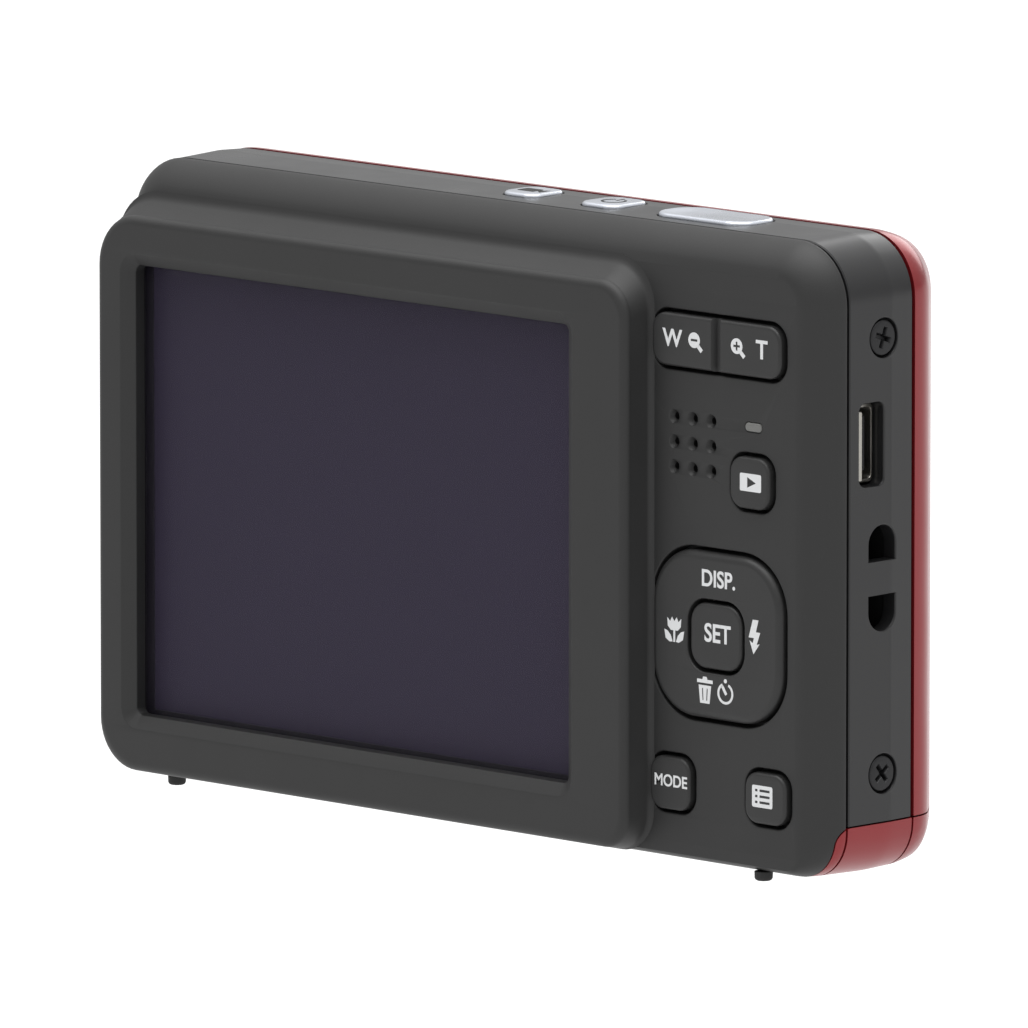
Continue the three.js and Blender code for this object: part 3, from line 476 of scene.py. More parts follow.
def rear_cover():
    b = Builder()
    inner = PANEL - WALL
    edge = [(body_outline(WALL), inner - 1.9), (body_outline(WALL), REAR_SEAM + 0.12),
            (body_outline(0.1), REAR_SEAM + 0.12), (body_outline(0.03), REAR_SEAM + 0.16)]
    _, face = b.stack(edge + bevel_rings())
    _, inner_face = b.stack([(body_outline(WALL), inner - 1.9), (body_outline(3.0, 1.8), inner)])
    holes = [hole_lip(widened(shape, KEY_GAP), PANEL, 0.18, PANEL - inner)
             for shape in (PLAY, MODE, MENU, PAD, ROCKER)]
    holes.append(hole_lip(centred("status_light", 2.2, 0.95, 0.45, 6), PANEL, 0.12, PANEL - inner, n=2))
    for shape in speaker_shapes():
        # Each hole sits in a dimple with a sloping wall.
        holes.append([(shape(0.34), PANEL), (shape(0.3), PANEL - 0.03), (shape(0.08), PANEL - 0.42),
                      (shape(0), PANEL - 0.5), (shape(0), inner)])
    opening = view_rect(1.6, 4.2, 1.0, 4)
    holes.append([(opening(), PANEL), (opening(), inner)])
    ends = [b.stack(rings) for rings in holes]
    b.fill([face] + [top for top, _ in ends])
    b.fill([inner_face] + [low for _, low in ends])
    obj = b.make("rear_cover_shell", smooth=False)
    clear_door(obj)
    shade(obj)
    dress(obj, "rear_shell", nodes=["rear_cover"])


def bezel():
    """Raised frame round the display, with the sloping top that runs down to the bevel's valley."""
    b = Builder()

    def ring(left, right, low, high, r_left, r_right):
        return rounded(left, right, low, high, [LOW_CORNER, r_right, r_left, max(r_left - 0.4, 0.8)], 12)

    left, right = REAR_HI[0] - BEZEL_WIDTH, REAR_HI[0]
    # Each step: shift of the left edge, height above the floor, depth under the roof, radii, level.
    steps = [(0.0, 0.45, 3.6, 4.2, 5.6, REAR_SEAM + 0.3), (-0.55, 0.45, 2.95, 4.6, 5.6, PANEL - 0.02),
             (-0.32, 0.5, 3.3, 4.4, 5.6, PANEL + 0.06), (-0.1, 0.55, 3.62, 4.3, 5.5, PANEL + 0.22),
             (0.05, 0.62, 3.9, 4.2, 5.4, PANEL + 0.5)]
    outer = [(ring(left + shift, right - 0.02, FLOOR_Z + low, ROOF_Z - high, r_left, r_right), level)
             for shift, low, high, r_left, r_right, level in steps]
    top_lip = 0.9
    for i in range(9):
        t = math.pi / 2 * i / 8
        s, c = top_lip * (1 - math.cos(t)), top_lip * math.sin(t)
        outer.append((ring(left + 0.45 + s, right - 0.03 - s, FLOOR_Z + 0.95 + s, ROOF_Z - 5.05 - s,
                           3.6 - s * 0.7, 5.0 - s * 0.8), BEZEL - top_lip + c))
    view = view_rect(0.0, 0.0, 0.7, 5)
    ledge = WINDOW_HI[1] + 0.06
    inner = [(view(1.32), BEZEL), (view(1.2), BEZEL - 0.04), (view(0.08), BEZEL - 0.84),
             (view(0.0), BEZEL - 0.98), (view(0.0), ledge), (view(1.9), ledge),
             (view(1.9), REAR_SEAM + 0.3)]
    first, face = b.stack(outer)
    top, last = b.stack(inner)
    b.fill([face, top])
    b.fill([first, last])
    obj = b.make("display_bezel", smooth=False)
    clear_door(obj)
    shade(obj)
    dress(obj, "rear_shell")


def display():
    b = Builder()
    shape = node_rect("display_window", 0.6, 5)
    b.solid([(shape(0), WINDOW_LO[1])] + outer_lip(shape, WINDOW_HI[1], 0.12, 0.3))
    dress(b.make("display_cover_glass"), "screen_window", nodes=["display_window"], slot="clear")
    # Inner mask round the picture area, printed behind the glass.
    b = Builder()
    mask_out = view_rect(2.2, 2.2, 0.5, 4)
    mask_in = view_rect(-0.5, -0.5, 0.3, 4, 0.1)
    y = WINDOW_LO[1] - 0.08
    first, a = b.stack([(mask_out(), y - 0.12), (mask_out(), y)])
    c, d = b.stack([(mask_in(), y), (mask_in(), y - 0.12)])
    b.fill([a, c])
    b.fill([first, d])
    dress(b.make("display_mask"), "black_print_and_seam_shade", slot="inner_plastic")
    y0, y1 = span("display_panel", "y")
    b = Builder()
    shape = node_rect("display_panel", 0.8, 5)
    b.solid([(shape(-0.2), y0), (shape(0), y0 + 0.2)] + outer_lip(shape, y1 + 0.1, 0.15, 0.4))
    dress(b.make("display_module"), "screen", nodes=["display_panel"])


# ------------------------------------------------------------------ keys
def key_rings(shape, back, lip=KEY_LIP, steps=(0.2, 0.55, 0.6)):
    """Rings of a key, from its flange under the panel up to its top; steps are the flange's levels."""
    flange = shape(KEY_GAP + 0.2)
    rings = [(flange, back + steps[0]), (flange, back + steps[1]), (shape(0.02), back + steps[2])]
    return rings + outer_lip(shape, KEY_TOP, lip, KEY_SIDE, n=6)


def key_cap(name, shape, node, body, hole=None, lip=KEY_LIP):
    """A key with rounded edges and a flange under the panel, and a hole through it if one is given."""
    back = mm_box(node)[0][1]
    b = Builder()
    rings = key_rings(shape, back, lip, (0.0, 0.3, 0.35)) if hole else key_rings(shape, back, lip)
    first, face = b.stack(rings)
    ends = [b.stack(hole_lip(hole, KEY_TOP, 0.2, KEY_TOP - rings[0][1], n=4))] if hole else []
    b.fill([face] + [top for top, _ in ends])
    b.fill([first] + [low for _, low in ends])
    dress(b.make(name), "key_plastic", body=body, nodes=[node])


def zoom_rocker():
    x, _, z = centre("zoom_rocker")
    b = Builder()
    b.solid(key_rings(ROCKER, mm_box("zoom_rocker")[0][1]))
    obj = b.make("zoom_rocker_cap", smooth=False)
    # The groove between the two halves, with sloping sides.
    groove = Builder("z")
    section = [(x - 0.75, KEY_TOP + 0.3), (x - 0.62, KEY_TOP), (x - 0.3, KEY_TOP - 0.55),
               (x + 0.3, KEY_TOP - 0.55), (x + 0.62, KEY_TOP), (x + 0.75, KEY_TOP + 0.3)]
    groove.faces += [tuple(end) for end in groove.stack([(section, z - 5), (section, z + 5)])]
    boolean(obj, groove.make("groove_cut", smooth=False))
    shade(obj)
    dress(obj, "key_plastic", body="zoom_key", nodes=["zoom_rocker"])


def text_mark(name, words, x, z, size, body, bold=0.022, squeeze=1.0):
    """A printed function word on a key, as thin raised ink."""
    curve = bpy.data.curves.new(name, "FONT")
    curve.body, curve.size = words, size * MM
    curve.align_x, curve.align_y = "CENTER", "CENTER"
    curve.offset, curve.extrude = bold * size * MM, INK * MM
    temp = bpy.data.objects.new(name + "_curve", curve)
    link(temp)
    mesh = bpy.data.meshes.new_from_object(temp.evaluated_get(bpy.context.evaluated_depsgraph_get()))
    bpy.data.objects.remove(temp)
    turn = Matrix(((-squeeze, 0, 0, x * MM), (0, 0, 1, KEY_TOP * MM), (0, 1, 0, z * MM), (0, 0, 0, 1)))
    mesh.transform(turn)
    mesh.name = name
    obj = bpy.data.objects.new(name, mesh)
    link(obj)
    dress(obj, "legend", body=body, slot="light_guide")


def ink(name, shapes, x, z, body):
    """A pictogram of flat filled shapes. Each shape is one outline with holes, seen from behind, in mm."""
    b = Builder()
    for loops in shapes:
        b.sheet([[(x - u, z + v) for u, v in loop] for loop in loops], KEY_TOP, INK)
    dress(b.make(name, smooth=False), "legend", body=body, slot="light_guide")


def flat_ink(name, shapes, node, body):
    """A pictogram lying on a top key, read from behind."""
    x, y, _ = centre(node)
    b = Builder("z")
    for loops in shapes:
        b.sheet([[(x - u, y - v) for u, v in loop] for loop in loops], mm_box(node)[1][2], INK)
    dress(b.make(name, smooth=False), "black_print_and_seam_shade", body=body, slot="silver")


def circle(u, v, r, n=28):
    return [(u + r * math.cos(2 * math.pi * i / n), v + r * math.sin(2 * math.pi * i / n))
            for i in range(n)]


def bar(u0, v0, u1, v1, width):
    """A straight bar between two points."""
    length = math.hypot(u1 - u0, v1 - v0)
    du, dv = (u1 - u0) / length * width / 2, (v1 - v0) / length * width / 2
    return [(u0 - dv, v0 + du), (u1 - dv, v1 + du), (u1 + dv, v1 - du), (u0 + dv, v0 - du)]


def scaled(outline, wide, high):
    return [(u * wide, v * high) for u, v in outline]


def magnifier(u, v, plus):
    """A filled lens with its sign left open, and a short handle."""
    if plus:
        sign = cross_hole(u, v, 0.42, 0.11)()
    else:
        sign = [(u - 0.42, v - 0.11), (u + 0.42, v - 0.11), (u + 0.42, v + 0.11), (u - 0.42, v + 0.11)]
    return [[circle(u, v, 0.74), sign], [bar(u + 0.5, v - 0.52, u + 0.98, v - 0.98, 0.4)]]


def legends():
    x, _, z = centre("zoom_rocker")
    text_mark("legend_wide", "W", x + 5.55, z + 0.12, 2.3, "zoom_key")
    text_mark("legend_tele", "T", x - 5.9, z + 0.12, 2.45, "zoom_key")
    ink("legend_zoom_out", magnifier(0, 0.25, False), x + 2.75, z, "zoom_key")
    ink("legend_zoom_in", magnifier(0, 0.25, True), x - 2.7, z, "zoom_key")
    x, _, z = centre("play_button")
    square = rounded(-1.35, 1.35, -0.84, 0.84, 0.15, 3)
    ink("legend_play", [[square, [(-0.42, -0.5), (0.7, 0.0), (-0.42, 0.5)]]], x - 0.22, z + 0.1, "play_key")
    x, _, z = centre("menu_button")
    page = rounded(-1.3, 1.3, -1.04, 1.04, 0.18, 3)
    cuts = []
    for v in (0.56, 0.0, -0.56):
        cuts += [rounded(-0.92, -0.6, v - 0.12, v + 0.12, 0.04, 2),
                 rounded(-0.35, 0.95, v - 0.12, v + 0.12, 0.04, 2)]
    ink("legend_menu", [[page] + cuts], x + 0.28, z + 0.2, "menu_key")
    x, _, z = centre("mode_button")
    text_mark("legend_mode", "MODE", x - 0.19, z + 0.2, 1.56, "mode_key", bold=0.02, squeeze=0.96)
    x, _, z = centre("set_button")
    text_mark("legend_set", "SET", x - 0.27, z + 0.25, 2.42, "set_key", squeeze=0.9)
    x, _, z = centre("navigation_pad")
    text_mark("legend_display", "DISP.", x - 0.37, z + 5.4, 2.2, "pad", squeeze=0.92)
    # Close-up flower: three petals, a stem and two leaves.
    petals = [(-0.85, 1.35), (-0.5, 0.95), (-0.28, 1.45), (0, 1.0), (0.28, 1.45), (0.5, 0.95), (0.85, 1.35),
              (0.78, 0.45), (0.42, 0.02), (-0.42, 0.02), (-0.78, 0.45)]
    left = [(-1.2, 0.05), (-1.05, -0.9), (-0.55, -1.25), (-0.2, -1.2), (-0.45, -0.5), (-0.8, -0.1)]
    flower = [petals, [(0.11, 0.02), (-0.11, 0.02), (-0.11, -1.22), (0.11, -1.22)], left,
              [(-u, v) for u, v in reversed(left)]]
    ink("legend_close_up", [[scaled(shape, 1.06, 0.88)] for shape in flower], x + 5.28, z + 0.05, "pad")
    bolt = [(-0.1, 1.6), (0.62, 1.6), (0.3, 0.45), (0.85, 0.45), (0.4, -0.75), (0.78, -0.62), (0.0, -1.65),
            (-0.5, -0.4), (-0.1, -0.62), (0.05, -0.12), (-0.62, -0.12)]
    ink("legend_flash", [[bolt]], x - 4.9, z + 0.6, "pad")
    lid = [(-1.0, 0.95), (-0.32, 0.95), (-0.22, 1.22), (0.22, 1.22), (0.32, 0.95), (1.0, 0.95), (1.0, 0.62),
           (-1.0, 0.62)]
    can = [(-0.8, 0.4), (0.8, 0.4), (0.6, -1.3), (-0.6, -1.3)]
    slits = [bar(s * 0.3, 0.12, s * 0.24, -1.02, 0.13) for s in (-1, 1)]
    ink("legend_delete", [[lid], [can] + slits], x + 1.33, z - 5.1, "pad")
    # Self-timer: an open dial with a hand and a small knob on top.
    turns = [math.radians(25 + i * 310 / 30) for i in range(31)]
    rim_out = [(1.02 * math.sin(a), 1.02 * math.cos(a) - 0.2) for a in turns]
    rim_in = [(0.78 * math.sin(a), 0.78 * math.cos(a) - 0.2) for a in reversed(turns)]
    ink("legend_timer", [[rim_out + rim_in], [circle(0.0, 0.98, 0.2, 14)],
                         [bar(-0.42, 0.5, 0.12, -0.3, 0.3)]], x - 1.3, z - 5.0, "pad")


def keys():
    for key, shape in (("play", PLAY), ("mode", MODE), ("menu", MENU)):
        key_cap(key + "_key_cap", shape, key + "_button", key + "_key")
    key_cap("navigation_pad_cap", PAD, "navigation_pad", "pad", hole=widened(SET, KEY_GAP), lip=0.75)
    b = Builder()
    b.solid([(SET(0), mm_box("set_button")[0][1] + 0.1)] + outer_lip(SET, KEY_TOP, KEY_LIP, KEY_SIDE, n=6))
    dress(b.make("set_key_cap"), "key_plastic", body="set_key", nodes=["set_button"])
    zoom_rocker()
    light = centred("status_light", 2.1, 0.85, 0.4, 6)
    b = Builder()
    b.solid([(light(0), mm_box("status_light")[0][1])] + outer_lip(light, PANEL + 0.04, 0.12, 0.6))
    dress(b.make("status_light_guide"), "light_guide", nodes=["status_light"])


# ------------------------------------------------------------------ middle frame
USB_Y, USB_Z = centre("data_socket")[1:]
STRAP_Y, STRAP_Z = centre("strap_pocket")[1:]
GRIP_SCREWS = ["screw_grip_side_upper", "screw_grip_side_lower"]
FAR_SCREWS = ["screw_far_side_upper", "screw_far_side_lower"]
TOP_KEYS = {"record_button": (4.6, 4.8, 1.4), "power_button": (5.0, 5.2, 1.5),
            "shutter_button": (12.1, 5.7, 2.4)}


def top_shape(node):
    x, y, _ = centre(node)
    w, d, r = TOP_KEYS[node]
    return rect(x, y, w, d, r, 10)


def middle_frame():
    b = Builder()
    front, rear = FRONT_SEAM + 0.2, REAR_SEAM - 0.26
    ridge_y = REAR_SEAM - 5.7
    ridge = HALF - FRAME_HI[0]
    rings = [(body_outline(WALL), front), (body_outline(0.06), front), (body_outline(-0.06), front + 0.1)]
    rings += [(body_outline(ridge + 0.02), ridge_y - 0.3), (body_outline(ridge), ridge_y),
              (body_outline(ridge + 0.02), ridge_y + 0.3)]
    rings += [(body_outline(0.02), rear - 0.1), (body_outline(0.14), rear), (body_outline(WALL), rear)]
    first, last = b.stack(rings)
    b.bridge(last, first)
    obj = b.make("middle_frame_band", smooth=False)
    side = -HALF - 0.16
    c = Builder("x")
    for node in GRIP_SCREWS:
        _, y, z = centre(node)
        flared(c, round_hole(y, z, SCREW_WELL, 40), side - 1.5, side, 0.1, -HALF + 0.9)
    for node in FAR_SCREWS:
        _, y, z = centre(node)
        flared(c, round_hole(y, z, SCREW_WELL, 40), -side + 1.5, -side, 0.1, HALF - 0.9)
    flared(c, rect(USB_Y, USB_Z, 3.3, 7.9, 0.8, 6), side - 1.5, side, 0.16, -HALF + 3)
    for sign in (-1, 1):
        # One end of the strap slot: a half-round opening above or below the bar.
        def half(g=0.0, sign=sign, r=STRAP_WIDTH / 2):
            arc = [(STRAP_Y + (r + g) * math.cos(math.pi * i / 16),
                    STRAP_Z + sign * (STRAP_HEIGHT / 2 - r) + sign * (r + g) * math.sin(math.pi * i / 16))
                   for i in range(17)]
            base = STRAP_Z + sign * (STRAP_BAR - g * 0.4)
            pts = arc + [(STRAP_Y - r - g, base), (STRAP_Y + r + g, base)]
            return pts if sign > 0 else pts[::-1]
        flared(c, half, side - 1.5, side, 0.14, -HALF + 3)
    boolean(obj, c.make("side_cut", smooth=False))
    c = Builder("z")
    for node in TOP_KEYS:
        flared(c, widened(top_shape(node), 0.18), ROOF_Z + 1.6, ROOF_Z + 0.15, 0.14, ROOF_Z - 3)
    x, y, _ = centre("tripod_socket")
    flared(c, round_hole(x, y, 3.8, 40), FLOOR_Z - 1.6, FLOOR_Z - 0.15, 0.1, FLOOR_Z + 3)
    boolean(obj, c.make("top_cut", smooth=False))
    clear_door(obj)
    shade(obj, 20)
    dress(obj, "frame_shell", nodes=["middle_frame"])


def seam_tongues():
    """Near-black tongues inside the seams between the covers and the frame, so no light passes through; the
    near-black is painted shade in the seams.
    """
    b = Builder()
    for seam in (FRONT_SEAM, REAR_SEAM):
        first, last = b.stack([(body_outline(0.4), seam - 0.5), (body_outline(0.4), seam + 0.5),
                               (body_outline(1.3), seam + 0.5), (body_outline(1.3), seam - 0.5)])
        b.bridge(last, first)
    obj = b.make("seam_tongues", smooth=False)
    clear_door(obj)
    shade(obj)
    # The near-black here is painted shade in the seams.
    dress(obj, "black_print_and_seam_shade", slot="inner_plastic")


def side_fittings():
    for node in GRIP_SCREWS + FAR_SCREWS:
        x0, x1 = span(node, "x")
        _, y, z = centre(node)
        grip = x0 < 0
        face, deep = (x0 + 0.02, x1) if grip else (x1 - 0.02, x0)
        sign = -1 if grip else 1
        b = Builder("x")
        head, shank = round_hole(y, z, SCREW_HEAD, 48), round_hole(y, z, SCREW_SHANK, 48)
        rings = [(shank(), deep), (shank(), face - sign * 0.95), (head(-0.1), face - sign * 0.55),
                 (head(0), face - sign * 0.5)]
        rings += outer_lip(head, face, 0.22, 0.4, n=5, sign=sign)
        first, top = b.stack(rings)
        cross = cross_hole(y, z, 1.0, 0.22)
        c_top, c_low = b.stack([(cross(0.06), face), (cross(0.0), face - sign * 0.06),
                                (cross(-0.08), face - sign * 0.6)])
        b.fill([top, c_top])
        b.fill([c_low])
        b.faces.append(tuple(first))
        turn = 0.35 if node.endswith("upper") else 0.9
        obj = b.make(node + "_steel")
        pivot = Vector((0, y * MM, z * MM))
        spin = Matrix.Rotation(turn, 4, "X")
        obj.data.transform(Matrix.Translation(pivot) @ spin @ Matrix.Translation(-pivot))
        dress(obj, "black_screw", nodes=[node])
    # Data socket: drawn steel shell with a rolled rim and a wider lip on its rear side.
    x0, x1 = span("data_socket", "x")
    b = Builder("x")
    shell = rect(USB_Y, USB_Z, 3.0, 7.5, 0.55, 6)
    inside = rect(USB_Y - 0.1, USB_Z, 2.2, 6.7, 0.4, 6)
    first, rim = b.stack([(shell(), x1), (shell(), x0 + 0.92), (shell(-0.06), x0 + 0.83),
                          (shell(-0.12), x0 + 0.8)])
    mouth, back = b.stack([(inside(0.06), x0 + 0.8), (inside(0), x0 + 0.88), (inside(0), x1 - 0.5)])
    b.fill([rim, mouth])
    b.fill([back])
    b.fill([first])
    dress(b.make("data_socket_shell"), "steel", nodes=["data_socket"])
    b = Builder("x")
    lip = rect(USB_Y + 1.28, USB_Z - 0.1, 0.62, 6.6, 0.2, 4)
    b.solid([(lip(), x0 + 0.1), (lip(), x0 - 0.1), (lip(-0.08), x0 - 0.18)])
    dress(b.make("data_socket_lip"), "steel")
    b = Builder("x")
    tongue = rect(USB_Y - 0.15, USB_Z, 0.75, 5.2, 0.15, 4)
    b.solid([(tongue(), x1 - 0.7), (tongue(), x0 + 1.0), (tongue(-0.1), x0 + 0.9)])
    dress(b.make("data_socket_tongue_bar"), "inner_plastic", nodes=["data_socket_tongue"])


def top_keys():
    for node, body in (("record_button", "record_key"), ("power_button", "power_key"),
                       ("shutter_button", "shutter_key")):
        z0, z1 = span(node, "z")
        shape = top_shape(node)
        b = Builder("z")
        rings = [(shape(0.45), z0 + 0.3), (shape(0.45), z0 + 0.7), (shape(0), z0 + 0.75)]
        rings += outer_lip(shape, z1, 0.3, 0.9, n=6)
        if node == "shutter_button":
            # A shallow dished top for the finger.
            rings += [(shape(-0.8), z1 - 0.03), (shape(-1.4), z1 - 0.09), (shape(-2.2), z1 - 0.13)]
        b.solid(rings)
        dress(b.make(node + "_cap"), "silver", body=body, nodes=[node])
    arc = [math.radians(35 + i * 290 / 28) for i in range(29)]
    loop = [(1.25 * math.sin(a), 1.25 * math.cos(a)) for a in arc]
    loop += [(0.98 * math.sin(a), 0.98 * math.cos(a)) for a in reversed(arc)]
    flat_ink("power_mark", [[loop], [bar(0, 0.35, 0, 1.45, 0.27)]], "power_button", "power_key")
    box = rounded(-1.45, 0.65, -0.8, 0.8, 0.2, 3)
    horn = [(0.8, -0.25), (1.5, -0.75), (1.5, 0.75), (0.8, 0.25)]
    flat_ink("record_mark", [[box], [horn]], "record_button", "record_key")


# ------------------------------------------------------------------ front cover and battery door
def bezier(p0, p1, p2, p3, seg):
    out = []
    for i in range(seg + 1):
        t = i / seg
        out.append(tuple((1 - t) ** 3 * a + 3 * t * (1 - t) ** 2 * b + 3 * t * t * (1 - t) * c + t ** 3 * d
                         for a, b, c, d in zip(p0, p1, p2, p3)))
    return out


def grip_solid(grow=0.0, seg=20):
    """The hand grip: slices of a rounded outline that shrink on all sides towards its flat front."""
    top, back, edge = GRIP_FRONT - grow, FRONT_SEAM - 0.5, DOOR_HI[0]
    side_x = -HALF + 0.35 - grow
    outside = [(side_x, back)] + bezier((side_x, FRONT_SEAM - 2.4), (-42.6 - grow, top + 3.4),
                                        (-39.5 - grow, top), (-34.5, top), seg)
    inside = [(edge + 1.5 + grow, back)] + bezier((edge + 0.6 + grow, FRONT_FACE),
                                                  (edge - 1.6 + grow, top + 1.2), (edge - 2.2, top),
                                                  (edge - 7, top), 60)

    def flank(y):
        """Where the flank beside the lens lies at depth y."""
        for (xa, ya), (xb, yb) in zip(inside, inside[1:]):
            if yb <= y + 1e-9:
                return xa + (xb - xa) * (ya - y) / (ya - yb)
        return inside[-1][0]

    b = Builder()
    rings = []
    for x, y in outside:
        inset = x - side_x
        radii = [2.5, 2.5, max(5.5 - 0.3 * inset, 3.0), max(4.3 - 0.15 * inset, 3.0)]
        rings.append((rounded(x, flank(y), FLOOR_Z + 0.1 - grow + 0.2 * inset,
                              ROOF_Z - 0.3 + grow - 0.33 * inset, radii, 10), y))
    b.solid(rings)
    return b.make("grip_form", smooth=False)


def front_solid(grow=0.0, steps=14):
    """The front cover's outer form without the grip."""
    b = Builder()
    rings = [(body_outline(-0.1 - grow), FRONT_SEAM)]
    for i in range(steps + 1):
        t = math.pi / 2 * i / steps
        rings.append((body_outline(5.0 * (1 - math.cos(t)) - 0.1 - grow),
                      FRONT_SEAM - 0.4 - (4.6 + grow) * math.sin(t)))
    b.solid(rings)
    return b.make("front_form", smooth=False)


def rear_solid(hollow=False):
    b = Builder()
    if hollow:
        rings = [(body_outline(WALL), FRONT_SEAM - 0.5), (body_outline(WALL), REAR_SEAM + 0.1),
                 (body_outline(3.0, 1.9), PANEL - WALL)]
    else:
        ridge = HALF - FRAME_HI[0]
        rings = [(body_outline(-0.1), FRONT_SEAM - 0.2), (body_outline(-0.1), FRONT_SEAM),
                 (body_outline(ridge), REAR_SEAM - 5.7), (body_outline(0), REAR_SEAM)] + bevel_rings()
    b.solid(rings)
    return b.make("rear_form", smooth=False)


def smoothed(obj, voxel=0.42, passes=7):
    """Blends the joined forms into one continuous skin."""
    mod = obj.modifiers.new("remesh", "REMESH")
    mod.mode, mod.voxel_size = "VOXEL", voxel * MM
    mod = obj.modifiers.new("smooth", "SMOOTH")
    mod.factor, mod.iterations = 0.5, passes
    apply_modifiers(obj)
    return obj


def hollow_form():
    inner = front_solid(-1.1, steps=5)
    boolean(inner, grip_solid(-1.1, seg=6), "UNION")
    return boolean(inner, rear_solid(hollow=True), "UNION")


def shell_grooves():
    """Thin rings that cut the seams' lines into the door's skin."""
    b = Builder()
    for level in (FRONT_SEAM + 0.02, REAR_SEAM):
        out = [(body_outline(-1.2), level - 0.13), (body_outline(-1.2), level + 0.13)]
        inn = [(body_outline(0.3), level + 0.13), (body_outline(0.3), level - 0.13)]
        first, a = b.stack(out)
        c, last = b.stack(inn)
        b.bridge(a, c)
        b.bridge(last, first)
    return b.make("grooves", smooth=False)


FLASH = centred("flash_window", 12.4, 6.8, 1.2)
LAMP_X, _, LAMP_Z = centre("focus_lamp")
MIC = [(3.0 + d, ROOF_Z - 6.5) for d in (-1.1, 0.0, 1.1)]


def front_and_door():
    skin = front_solid()
    boolean(skin, grip_solid(), "UNION")
    boolean(skin, rear_solid(), "UNION")
    smoothed(skin)
    inner = hollow_form()
    door = skin.copy()
    door.data = skin.data.copy()
    link(door)

    # Front cover: everything in front of its seam, apart from the door's corner.
    front = prism("front_slab", rounded(-70, 70, -20, 90, 1.0, 2), -40, FRONT_SEAM - 0.12)
    boolean(skin, front, "INTERSECT")
    clear_door(skin)
    boolean(skin, inner, drop=False)
    b = Builder()
    flared(b, round_hole(LENS_X, LENS_Z, TRIM_BORE, 96), -20, FRONT_FACE, 0.15, FRONT_SEAM + 1)
    flared(b, widened(FLASH, 0.14), -20, FRONT_FACE, 0.16, FRONT_SEAM + 1)
    flared(b, round_hole(LAMP_X, LAMP_Z, 1.62, 40), -20, FRONT_FACE, 0.12, FRONT_SEAM + 1)
    for x, z in MIC:
        flared(b, round_hole(x, z, 0.33, 16), -20, FRONT_FACE, 0.08, FRONT_SEAM + 1)
    boolean(skin, b.make("front_cut", smooth=False))
    skin.name = skin.data.name = "front_cover_shell"
    shade(skin, 32)
    dress(skin, "front_paint", nodes=["front_cover"])

    # Door: the low corner, hollow above its floor, with the edge round its hinge pin.
    boolean(door, door_region(0.0), "INTERSECT")
    boolean(door, shell_grooves())
    low = prism("low_cut", rounded(-60, 20, -30, 30, 1.0, 2), -5, FLOOR_Z + 2.0, axis="z")
    boolean(inner, low)
    boolean(door, inner)
    pin_x, _, pin_z = centre("door_hinge_pin")
    lower = prism("lower_edge", rounded(pin_x, pin_x + 9, -3, pin_z, 0.01, 1), -20, 20)
    boolean(lower, prism("lower_round", round_hole(pin_x, pin_z, pin_z - FLOOR_Z, 48)(), -21, 21))
    boolean(door, lower)
    upper = prism("upper_edge", rounded(pin_x, pin_x + 9, pin_z, 9, 0.01, 1), -20, 20)
    boolean(upper, prism("upper_round", round_hole(pin_x, pin_z, 3.3, 64)(), -21, 21))
    boolean(door, upper)
    for y0, y1 in ((-2.6, -0.8), (5.0, 6.8)):
        boolean(door, prism("arm_cut", rounded(pin_x - 1.4, pin_x + 9, -3, 7, 0.01, 1), y0, y1))
    door.name = door.data.name = "battery_door_shell"
    shade(door, 32)
    dress(door, "front_paint", body="door", nodes=["battery_door"])
    # Moulded ribs on the door's inner floor, clear of the contact plate.
    b = Builder("z")
    for x0 in (-43.6, -41.0):
        rib = rounded(x0, x0 + 0.7, -4.5, 5.0, 0.15, 3)
        b.solid([(rib, FLOOR_Z + 1.9), (rib, FLOOR_Z + 2.9)])
    dress(b.make("battery_door_ribs"), "front_paint", body="door")


# ------------------------------------------------------------------ lens
def sag(radius, rho):
    """How far a sphere's cap falls away at rho from its axis."""
    return radius - math.sqrt(radius * radius - rho * rho)


